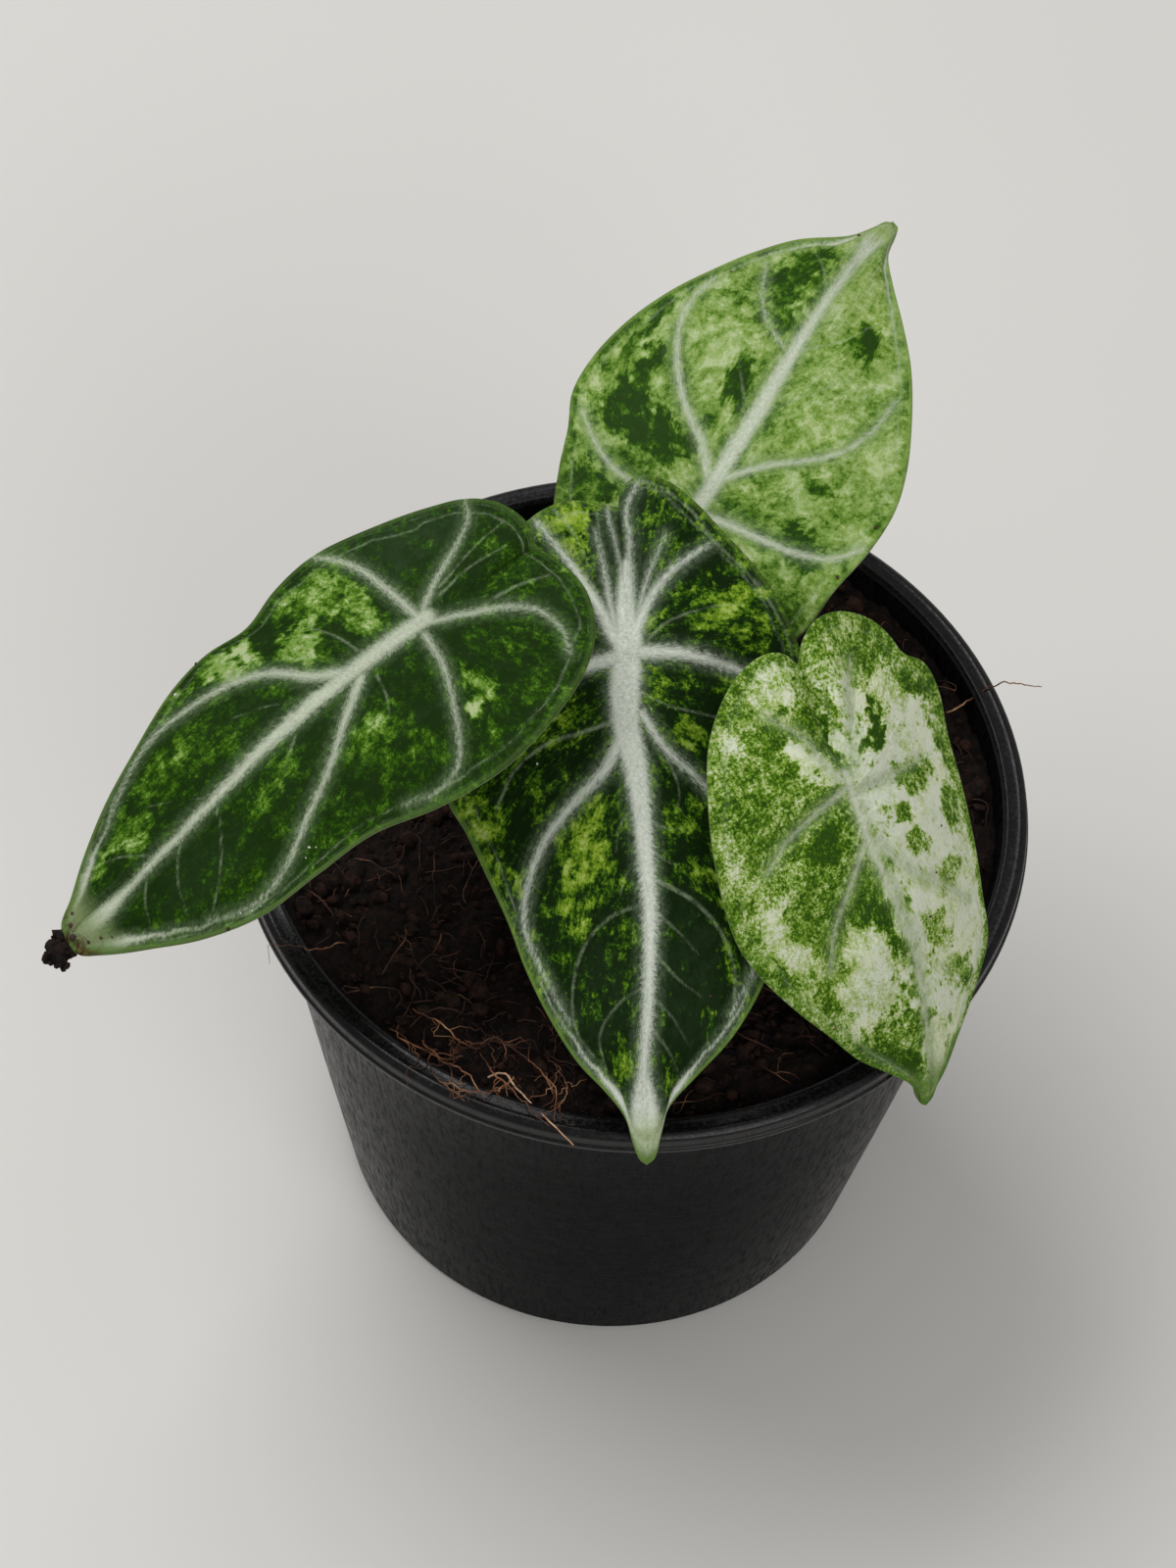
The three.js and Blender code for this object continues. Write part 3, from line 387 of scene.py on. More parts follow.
BACK = {
    "attach": (3.6, 21.9, 136.9), "tip": (30.9, 78.9, 139.3), "foot": (-0.2, 5.4),
    "arch": 4, "bank": 0, "bow": 0, "lobe_curl": 0.012, "crease": 0.6,
    "slope": (-2, -2), "curl": (-0.006, -0.006),
    "port": [
        (-15, 0), (-18, -4), (-18.5, -9), (-15.5, -13.5), (-11, -16.8), (-6.5, -18.8), (-1, -20.9),
        (4, -22.6), (10, -25.4), (16.5, -26), (24, -24.8), (32, -21.8), (39, -18.2), (46, -14.5),
        (52, -10.4), (57.2, -4), (60.8, -1.9), (63.2, -1), (63.9, 0),
    ],
    "starboard": [
        (-15, 0), (-18.5, 3), (-20, 8), (-18.5, 14), (-14.5, 19.5), (-8, 23.4), (0, 24.4), (8, 25.7),
        (16, 25.7), (23, 24), (30, 21), (38, 16.6), (45, 11.5), (52, 6), (56.5, 2.9), (60.4, 1.7),
        (63.2, 1), (63.9, 0),
    ],
    "ribs": [
        (-3, (-8, -5), (-16.5, -12.2), (-9, 6), (-18.8, 13)),
        (1, (0.8, -11), (7, -24), (0.5, 12), (7, 25.6)),
        (5, (17, -11), (38, -18.8), (17, 12), (36, 17.8)),
        (29, (36.5, -8.5), (47.5, -13.4), (38, 7.5), (50, 7.5)),
    ],
    "veins": [
        (1.5, 1.45, [(-1, 0.6), (5, 1.2), (12, 1.1), (20, 1)]),
        (1.45, 1.0, [(20, 1), (30, 0.3), (40, -0.3)]),
        (0.95, 0.8, [(40, -0.3), (50, -0.5), (58, -0.3)]),
        (0.9, 0.35, [(7, -0.4), (11, -3.8), (15, -8.8), (20, -13), (26, -16.4), (32, -17.9), (38, -17)]),
        (0.8, 0.3, [(0, -1), (0.2, -7), (1.2, -13), (4, -18), (8, -22.6)]),
        (1.0, 0.45, [(0.4, 1.6), (1.2, 6), (1.6, 12), (2.2, 17), (4, 21.6), (8, 25)]),
        (0.75, 0.3, [(7, 2), (12, 6.4), (16, 11.6), (20, 15), (25, 16.8), (32, 17.4)]),
        (0.8, 0.3, [(-2, -0.6), (-8, -4), (-14, -9.6), (-16, -11.6)]),
        (0.8, 0.3, [(-2, 0.8), (-8, 4.6), (-14, 9.6), (-18, 12.6)]),
        (0.35, 0.2, [(31, -0.6), (34, -5.6), (38.6, -9), (45, -12)]),
    ],
    "threads": [
        (0.3, 0.1, [(32, 1.2), (37, 5.4), (44, 8.6)]),
        (0.3, 0.12, [(18, -0.4), (24, -4.6), (30, -9)]),
        (0.24, 0.1, [(20, 2), (26, 6.6), (32, 10.4)]),
        (0.24, 0.1, [(44, -1.2), (48, -4), (51, -7)]),
    ],
    "base_tone": 0.73,
    "patches": [
        (24, -21, 9, 1.2, 14, 0.3), (8.6, -11, 3.6, 6, 15, 0.14), (12, -17.6, 4.6, 4, 20, 0.16),
        (18.6, -16.6, 4.6, 2.4, -10, 0.2), (15.6, -21.6, 6, 1.2, 0, 0.56), (3.6, -11, 1.8, 5, 0, 0.42),
        (-4, -15, 5, 4, -30, 0.24), (-9, -13, 5, 3, -30, 0.26), (22.8, -4.2, 4.8, 2.3, -28, 0.14),
        (16.4, -12.4, 3, 3, -30, 0.66), (42.6, -6, 8.6, 3.8, -8, 0.36), (36, -3.4, 4, 1.4, 0, 0.28),
        (49, -5.6, 3, 2, 0, 0.34), (29, -12.4, 6, 3.4, -20, 0.72), (26, -8.6, 4, 2, 0, 0.84),
        (15, -4.4, 2.6, 1.6, 0, 0.5), (3.6, 16, 3.3, 5.2, -14, 0.14), (37.4, 8.6, 4.8, 2.4, 8, 0.26),
        (29, 8, 6, 3, 0, 0.6), (15.4, 16.6, 3.6, 2.4, 0, 0.52), (10, 20, 5, 2.4, 0, 0.6),
        (-5, 18, 5, 3.4, -30, 0.5), (8, 9, 4, 4, 0, 0.64), (22, 20, 5, 2, 0, 0.8),
        (46, 4, 5, 2.4, 0, 0.74), (46, 9, 5, 1.2, -30, 0.74), (28, -1.6, 4, 0.8, 0, 0.5),
        (3.6, 10, 1.6, 5, 0, 0.5), (18, 4, 6, 1.8, 10, 0.6), (34, 13.4, 3, 1.6, -20, 0.8),
        (10, -6, 2, 2, 0, 0.26), (-10, 6, 5, 5, 0, 0.6), (22, 11, 5, 3, 0, 0.72),
        (38, -13, 4, 1.4, -28, 0.6),
    ],
    "painted_sheen": [(4, 2, 6, 4, 0, 0.35), (2, 14, 3, 8, 0, 0.25), (36, 3, 16, 2, 0, 0.2)],
    "thread_strength": 0.8,
    "vein_shade": 0.08,
    "margin_lines": 0.6,
    "edge_green": (122, 150, 76),
    "edge_strength": 0.7,
    "grain": 1.3,
    "tip_veil": 0.9,
    "halo": (120, 142, 96),
    "speckle": (1.2, 1.0, 1.3, 0.9),
    "margin_tone": (0.3, 0.56),
    "palette": [(34, 60, 14), (48, 86, 8), (84, 118, 38), (112, 142, 62), (140, 164, 96), (170, 186, 138)],
    "vein_colours": ((168, 178, 152), (200, 206, 190)),
    "beak_colours": ((132, 158, 80), (164, 182, 126)),
    "slot": "blade_variegated",
}

LEAVES = {"left": LEFT, "centre": CENTRE, "right": RIGHT, "back": BACK}

# Where the greens of a palette lie on the scale of tones
PALETTE_STOPS = [0.16, 0.34, 0.48, 0.62, 0.8, 1.0]

# Colours that all blades share. The first one is laid over the greens in broad drifts.
YELLOW_DRIFT = (255, 255, 203.4)
# Painted sheen: the grey-green film laid over the greens where light glances off the velvet
PAINTED_SHEEN_COLOUR = (76, 98, 70)
THREAD_COLOUR = (150, 166, 132)
UNDER_COLOUR = (122, 140, 96)
UNDER_VEIN_COLOUR = (156, 170, 132)
WET_STAIN = (70, 44, 24)

# Stem: flesh, streaks, flecks and the foot near the soil
STEM_COLOURS = ((128, 150, 78), (160, 176, 116), (84, 104, 52), (150, 134, 96))

# Pot: plastic, worn plastic and dust
POT_COLOURS = ((7, 7, 8), (21, 20, 22), (74, 52, 38))

# Soil and its crumbs: dark, light and rusty
PEAT_COLOURS = ((6, 4, 3), (40, 23, 16), (96, 53, 33))
CRUMB_COLOURS = ((9, 6, 4), (66, 38, 26), (120, 68, 42))

# Fibres, from dark to light, and their flecks
COIR_COLOURS = ((38, 19, 12), (80, 44, 27), (150, 104, 66))
STRAW_COLOURS = ((74, 40, 24), (142, 92, 58), (206, 162, 118))
PALE_STRAW_COLOURS = ((190, 146, 112), (222, 182, 148), (240, 208, 178))
FIBRE_FLECK = (46, 25, 15)

# Pale specks on the blades: dust, and painted glints of light
DUST_AND_GLINT_COLOURS = ((176, 178, 166), (222, 222, 212))
FLOOR_COLOURS = ((214, 212, 208), (222, 220, 216))


# Small tools

def unit(v):
    v = np.asarray(v, float)
    return v / np.linalg.norm(v)


def turned(v, axis, angle):
    """v turned about a unit axis, right-handed."""
    v = np.asarray(v, float)
    kept = np.asarray(axis) * np.dot(axis, v) * (1 - cos(angle))
    return v * cos(angle) + np.cross(axis, v) * sin(angle) + kept


def smoothstep(x, low, high):
    t = np.clip((np.asarray(x, float) - low) / (high - low), 0, 1)
    return t * t * (3 - 2 * t)


def linear(colour):
    """A colour of 0 to 255, as seen, as linear RGBA."""
    c = np.array(colour, float) / 255
    flat = np.where(c <= 0.04045, c / 12.92, ((c + 0.055) / 1.055) ** 2.4)
    return (*(float(x) for x in flat), 1)


def lattice_noise(x, y, seed, octaves, gain=0.5):
    """Smooth repeatable noise from about -1 to 1 over a plane, with a cell of 1."""
    x, y = np.asarray(x, float), np.asarray(y, float)
    total, weight, size = np.zeros(np.broadcast(x, y).shape), 1.0, 256
    for octave in range(octaves):
        values = np.random.default_rng(seed * 31 + octave).uniform(-1, 1, (size, size))
        i, j = np.floor(x).astype(int), np.floor(y).astype(int)
        a, b = x - i, y - j
        a, b = a * a * (3 - 2 * a), b * b * (3 - 2 * b)
        corner = lambda p, q: values[(i + p) % size, (j + q) % size]
        low = corner(0, 0) * (1 - a) + corner(1, 0) * a
        high = corner(0, 1) * (1 - a) + corner(1, 1) * a
        total += weight * (low * (1 - b) + high * b)
        weight *= gain
        x, y = x * 2.03 + 17.1, y * 2.03 + 5.7
    return total


def catmull(points, t):
    """A centripetal Catmull-Rom curve, at the parameters t from 0 to 1, as in the part's source."""
    points = np.asarray(points, float)
    count = len(points)
    place = np.asarray(t, float) * (count - 1)
    index = np.minimum(np.floor(place).astype(int), count - 2)
    w = (place - index)[:, None]
    padded = np.vstack([2 * points[0] - points[1], points, 2 * points[-1] - points[-2]])
    p0, p1, p2, p3 = (padded[index + k] for k in range(4))
    gap = lambda a, b: np.maximum(np.sum((a - b) ** 2, axis=1, keepdims=True) ** 0.25, 1e-4)
    d0, d1, d2 = gap(p0, p1), gap(p1, p2), gap(p2, p3)
    t1 = ((p1 - p0) / d0 - (p2 - p0) / (d0 + d1) + (p2 - p1) / d1) * d1
    t2 = ((p2 - p1) / d1 - (p3 - p1) / (d1 + d2) + (p3 - p2) / d2) * d1
    return p1 + t1 * w + (-3 * p1 + 3 * p2 - 2 * t1 - t2) * w**2 + (2 * p1 - 2 * p2 + t1 + t2) * w**3


def along_path(path, count=48):
    return catmull(path, np.linspace(0, 1, count))


def gap_to_lines(points, lines, far=5.0):
    """How far each point is from the edge of the nearest tapered line, less than 0 inside one."""
    least = np.full(len(points), far)
    for start_width, end_width, path in lines:
        curve = along_path(path)
        near = np.all((points > curve.min(0) - far) & (points < curve.max(0) + far), axis=1)
        a, b = curve[:-1], curve[1:]
        step = b - a
        share = np.clip(((points[near][:, None] - a) * step).sum(2) / (step * step).sum(1), 0, 1)
        away = np.linalg.norm(points[near][:, None] - a - share[..., None] * step, axis=2)
        run = (np.arange(len(a)) + share) / len(a)
        gap = (away - start_width - (end_width - start_width) * run).min(1)
        least[near] = np.minimum(least[near], gap)
    return least


def angles_round(count):
    return 2 * pi * np.arange(count) / count


def circle(radius, angles, height):
    return np.stack([radius * np.cos(angles), radius * np.sin(angles), np.full(len(angles), height)], 1)


def ring_faces(rings, sides):
    """The quads between rings of points that follow one another."""
    here = np.arange(rings * sides).reshape(rings, sides)
    beside = np.roll(here, -1, axis=1)
    return np.stack([here[:-1], beside[:-1], beside[1:], here[1:]], -1).reshape(-1, 4).tolist()


def tube(points, radii, sides, flute=None):
    """Vertices and faces of a closed round body along points, with its rings kept from twisting."""
    points = np.asarray(points, float)
    angles = angles_round(sides)
    across = np.array([1.0, 0.13, 0.07])
    vertices = []
    for i, centre in enumerate(points):
        along = unit(points[min(i + 1, len(points) - 1)] - points[max(i - 1, 0)])
        across = unit(across - along * np.dot(across, along))
        other = np.cross(along, across)
        radius = radii[i] * (1 if flute is None else flute(i, angles))
        round_here = (np.cos(angles) * radius)[:, None] * across + (np.sin(angles) * radius)[:, None] * other
        vertices.append(centre + round_here)
    last = (len(points) - 1) * sides
    caps = [list(range(sides))[::-1], list(range(last, last + sides))]
    return np.vstack(vertices), ring_faces(len(points), sides) + caps


def lump(centre, sizes, turn, random, detail, rough):
    """Vertices and faces of a small ragged clod."""
    work = bmesh.new()
    bmesh.ops.create_icosphere(work, subdivisions=detail, radius=1)
    points = np.array([v.co for v in work.verts])
    faces = [tuple(v.index for v in f.verts) for f in work.faces]
    work.free()
    wild = random.normal(0, 1, (6, 3))
    bumps = sum(np.sin(points @ w * 2.2 + k) for k, w in enumerate(wild)) / 6
    points = points * (1 + rough * bumps + rough * 0.5 * random.uniform(-1, 1, len(points)))[:, None]
    points = points * np.array(sizes)
    a, b = turn
    points = points @ np.array([[cos(a), -sin(a), 0], [sin(a), cos(a), 0], [0, 0, 1]]).T
    points = points @ np.array([[1, 0, 0], [0, cos(b), -sin(b)], [0, sin(b), cos(b)]]).T
    return points + np.array(centre), faces


def new_object(name, vertices, faces, material):
    mesh = bpy.data.meshes.new(name)
    mesh.from_pydata([tuple(p) for p in np.asarray(vertices) * MM], [], faces)
    mesh.validate()
    mesh.polygons.foreach_set("use_smooth", [True] * len(mesh.polygons))
    mesh.materials.append(material)
    mesh.update()
    made = bpy.data.objects.new(name, mesh)
    bpy.context.scene.collection.objects.link(made)
    return made


def joined(name, parts, material):
    """One object of several parts, each its vertices and its faces."""
    vertices, faces, offset = [], [], 0
    for some_vertices, some_faces in parts:
        vertices.append(some_vertices)
        faces += [tuple(offset + k for k in face) for face in some_faces]
        offset += len(some_vertices)
    return new_object(name, np.vstack(vertices), faces, material)


def weld(made, distance):
    work = bmesh.new()
    work.from_mesh(made.data)
    bmesh.ops.remove_doubles(work, verts=work.verts, dist=distance * MM)
    bmesh.ops.recalc_face_normals(work, faces=work.faces)
    work.to_mesh(made.data)
    work.free()
    made.data.update()


def add_field(made, name, values):
    """Gives each vertex a value, or a vector where values has three columns."""
    values = np.asarray(values, np.float32)
    kind, key = ("FLOAT", "value") if values.ndim == 1 else ("FLOAT_VECTOR", "vector")
    made.data.attributes.new(name, kind, "POINT").data.foreach_set(key, values.ravel())


# Material graphs

class Graph:
    """A node material with short calls for the nodes it uses."""

    def __init__(self, name):
        self.material = bpy.data.materials.new(name)
        self.material.use_nodes = True
        self.tree = self.material.node_tree
        self.shader = self.tree.nodes["Principled BSDF"]

    def put(self, socket, value):
        if isinstance(value, bpy.types.NodeSocket):
            self.tree.links.new(value, socket)
        else:
            socket.default_value = value

    def node(self, kind, inputs=(), output=0, **settings):
        made = self.tree.nodes.new(kind)
        for key, value in settings.items():
            setattr(made, key, value)
        for key, value in dict(inputs).items():
            self.put(made.inputs[key], value)
        return made.outputs[output]

    def set(self, **values):
        for key, value in values.items():
            self.put(self.shader.inputs[key.replace("_", " ")], value)

    def value(self, name):
        return self.node("ShaderNodeAttribute", output="Fac", attribute_name=name)

    def vector(self, name):
        return self.node("ShaderNodeAttribute", output="Vector", attribute_name=name)

    def place(self):
        """The point in the part's frame, in mm."""
        return self.stretch(self.node("ShaderNodeTexCoord", output="Object"), (1000, 1000, 1000))

    def stretch(self, vector, factors):
        return self.node("ShaderNodeVectorMath", {0: vector, 1: factors}, operation="MULTIPLY")

    def part(self, vector, axis):
        return self.node("ShaderNodeSeparateXYZ", {0: vector}, output=axis)

    def math(self, operation, a, b, c=0.0):
        return self.node("ShaderNodeMath", {0: a, 1: b, 2: c}, operation=operation)

    def times(self, a, b):
        return self.math("MULTIPLY", a, b)

    def plus(self, a, b):
        return self.math("ADD", a, b)

    def shaken(self, x, noise, amount):
        """x moved up and down by a noise, by at most half of amount."""
        return self.math("MULTIPLY_ADD", self.math("SUBTRACT", noise, 0.5), amount, x)

    def smooth(self, x, low, high, to_low=0.0, to_high=1.0):
        return self.node(
            "ShaderNodeMapRange",
            {"Value": x, "From Min": low, "From Max": high, "To Min": to_low, "To Max": to_high},
            interpolation_type="SMOOTHSTEP",
        )

    def noise(self, vector, scale, detail=3, roughness=0.5, distortion=0.0):
        inputs = {"Scale": scale, "Detail": detail, "Roughness": roughness, "Distortion": distortion}
        return self.node("ShaderNodeTexNoise", {"Vector": vector, **inputs})

    def cells(self, vector, scale):
        return self.node("ShaderNodeTexVoronoi", {"Vector": vector, "Scale": scale}, output="Distance")

    def ramp(self, x, stops, colours):
        made = self.tree.nodes.new("ShaderNodeValToRGB")
        elements = made.color_ramp.elements
        while len(elements) < len(stops):
            elements.new(0.5)
        for element, stop, colour in zip(elements, stops, colours):
            element.position = stop
            element.color = linear(colour)
        self.put(made.inputs[0], x)
        return made.outputs[0]

    def mix(self, factor, a, b, blend="MIX"):
        """Two colours mixed, each a socket or three numbers of 0 to 255."""
        made = self.tree.nodes.new("ShaderNodeMix")
        made.data_type = "RGBA"
        made.blend_type = blend
        self.put(made.inputs["Factor"], factor)
        for number, colour in ((6, a), (7, b)):
            self.put(made.inputs[number], linear(colour) if isinstance(colour, tuple) else colour)
        return made.outputs[2]

    def bump(self, height, distance, strength, normal=None):
        inputs = {"Height": height, "Distance": distance * MM, "Strength": strength}
        if normal is not None:
            inputs["Normal"] = normal
        return self.node("ShaderNodeBump", inputs)


# The blade's smooth surface, its ribs and its relief, as in the part's source

def frame_of(leaf):
    """Where a blade starts, the directions it starts in, the radius of its arch, and its length."""
    attach = np.array(leaf["attach"], float)
    chord = np.array(leaf["tip"], float) - attach
    span = float(np.linalg.norm(chord))
    along = chord / span
    up = turned(unit(np.array([0, 0, 1.0]) - along * along[2]), along, radians(leaf["bank"]))
    side = np.cross(along, up)
    half = 2 * atan(2 * leaf["arch"] / span)
    forward = cos(half) * along + sin(half) * up
    normal = cos(half) * up - sin(half) * along
    radius = span / (2 * sin(half))
    return {
        "attach": attach, "forward": forward, "side": side, "normal": normal, "radius": radius,
        "length": 2 * radius * half,
    }


def midline_across(leaf, axes, u):
    t = np.clip(np.asarray(u, float) / axes["length"], 0, 1)
    return 4 * leaf["bow"] * t * (1 - t)


def on_blade(leaf, axes, u, v, height):
    """Points of the blade at (u, v), raised by height over its smooth surface."""
    u, v = np.asarray(u, float), np.asarray(v, float)
    curl = np.where(u > 0, 1 / axes["radius"], leaf["lobe_curl"])
    turn = curl * u
    ahead = np.sin(turn) / curl
    drop = (1 - np.cos(turn)) / curl
    slope = np.where(v < 0, tan(radians(leaf["slope"][0])), tan(radians(leaf["slope"][1])))
    side_curl = np.where(v < 0, leaf["curl"][0], leaf["curl"][1])
    keeled = np.hypot(v, KEEL_WIDTH) - KEEL_WIDTH
    crease = leaf["crease"] * smoothstep(-u, 0, CREASE_START) * np.exp(-((v / CREASE_WIDTH) ** 2))
    rise = slope * keeled + side_curl * v * v / 2 - crease + height
    return (
        axes["attach"]
        + (ahead + rise * np.sin(turn))[..., None] * axes["forward"]
        + (rise * np.cos(turn) - drop)[..., None] * axes["normal"]
        + v[..., None] * axes["side"]
    )


def rib_lines(leaf, axes, side):
    """The lines from the midrib to the margin of one half, close together: start, bend and end in (u, v),
    how far each lies between two veins, its place along the outline, and the outline's length."""
    outline = leaf[side]
    samples = np.linspace(0, 1, 401)
    curve = catmull(outline, samples)
    length = np.linalg.norm(np.diff(curve, axis=0), axis=1).sum()
    sinus = outline[0][0]
    inner, outer = sinus + SINUS_INSET, axes["length"] - TIP_INSET
    bend_at, end_at = (1, 2) if side == "port" else (3, 4)
    main = [(inner, ((inner + sinus) / 2, 0), 0.0)]
    for rib in leaf["ribs"]:
        nearest = samples[np.argmin(np.linalg.norm(curve - np.array(rib[end_at]), axis=1))]
        main.append((rib[0], rib[bend_at], nearest))
    main.append((outer, ((outer + axes["length"]) / 2, 0), 1.0))
    starts, bends, places, betweens = [], [], [], []
    for low, high in zip(main, main[1:]):
        count = max(8, int(round(length * (high[2] - low[2]) / MARGIN_STEP)))
        f = np.arange(count) / count
        starts.append(low[0] + (high[0] - low[0]) * f)
        bends.append(np.array(low[1]) + (np.array(high[1]) - np.array(low[1])) * f[:, None])
        places.append(low[2] + (high[2] - low[2]) * f)
        betweens.append(f)
    starts = np.append(np.concatenate(starts), main[-1][0])
    bends = np.vstack([np.concatenate(bends), main[-1][1]])
    places = np.append(np.concatenate(places), 1.0)
    betweens = np.append(np.concatenate(betweens), 0.0)
    start_points = np.stack([starts, midline_across(leaf, axes, starts)], 1)
    return start_points, bends, catmull(outline, places), betweens, places, length


# How ragged a patch is: how far its outline wanders, in cells of so many mm, and how frayed its edge is
PATCH_WANDER = (1.0, 0.8)
PATCH_WANDER_CELL = (3.6, 3.2)
PATCH_FRAY = 0.36
PATCH_FRAY_CELL = (1.7, 1.4)
PATCH_EDGE = (0.7, 1.3)

# Where the margin veins widen and where the veil lies, as shares of the way to the tip
LINES_WIDEN = (0.3, 0.92)
TIP_VEIL_SPAN = (0.8, 0.91)

# How far from a vein its shade reaches, and how far from the margin its own tone does
SHADE_REACH = (0.3, 2.6)
MARGIN_REACH = (0.9, 2.1)
MARGIN_STRENGTH = 0.8


def patch_field(points, base, patches):
    """The tone at each point: the base, then each patch laid over it in turn, with ragged edges."""
    u, v = points[:, 0], points[:, 1]
    warped = [
        place + wander * lattice_noise(u / cell, v / cell, seed, octaves=3, gain=0.7)
        for place, wander, cell, seed in zip((u, v), PATCH_WANDER, PATCH_WANDER_CELL, (5, 6))
    ]
    fray_u, fray_v = PATCH_FRAY_CELL
    ragged = PATCH_FRAY * lattice_noise(u / fray_u, v / fray_v, seed=7, octaves=4, gain=0.75)
    tone = np.full(len(points), float(base))
    for patch_u, patch_v, half_length, half_width, angle, value in patches:
        a = radians(angle)
        du, dv = warped[0] - patch_u, warped[1] - patch_v
        x = (du * cos(a) + dv * sin(a)) / half_length
        y = (dv * cos(a) - du * sin(a)) / half_width
        tone += (value - tone) * (1 - smoothstep(np.hypot(x, y) + ragged, *PATCH_EDGE))
    return tone


def surface_fields(leaf, points, rim, margin_tone):
    """What the material needs to know at each point of a blade, by name.

    Two pale veins run along the margin, and they widen and close up towards the tip.
    """
    u, v = points[:, 0], points[:, 1]
    share = u / leaf["port"][-1][0]
    toward_tip = smoothstep(share, *LINES_WIDEN)
    sway = lattice_noise(u / 5, v / 5, seed=9, octaves=3, gain=0.6)
    inner = np.abs(rim - INNER_MARGIN_VEIN + 0.5 * toward_tip - 0.5 * sway)
    outer = np.abs(rim - OUTER_MARGIN_VEIN + 0.2 * toward_tip - 0.3 * sway)
    margin_gap = inner + 1.1 - (0.9 + leaf["margin_lines"]) * toward_tip
    vein_gap = np.minimum(gap_to_lines(points, leaf["veins"]), margin_gap)
    vein_gap = vein_gap - leaf["tip_veil"] * smoothstep(share, *TIP_VEIL_SPAN)
    thread_gap = np.minimum.reduce([
        gap_to_lines(points, leaf["threads"]),
        inner - 0.12 - 0.2 * toward_tip,
        outer - 0.02 - 0.14 * toward_tip,
    ])
    tone = patch_field(points, leaf["base_tone"], leaf["patches"])
    # Darker beside the veins: partly the leaf's own green, partly painted shade in the grooves the veins lie
    # in
    tone = tone - leaf["vein_shade"] * (1 - smoothstep(vein_gap, *SHADE_REACH))
    uneven_rim = rim + 0.5 * lattice_noise(u / 2, v / 2, seed=8, octaves=3, gain=0.7)
    margin = MARGIN_STRENGTH * (1 - smoothstep(uneven_rim, *MARGIN_REACH))
    return {
        "vein_gap": vein_gap,
        "thread_gap": thread_gap,
        "tone": tone + (margin_tone - tone) * margin,
        # Painted sheen: how strongly light glancing off the velvet is painted at each point
        "painted_sheen": patch_field(points, 0, leaf["painted_sheen"]),
        "rim": rim,
    }


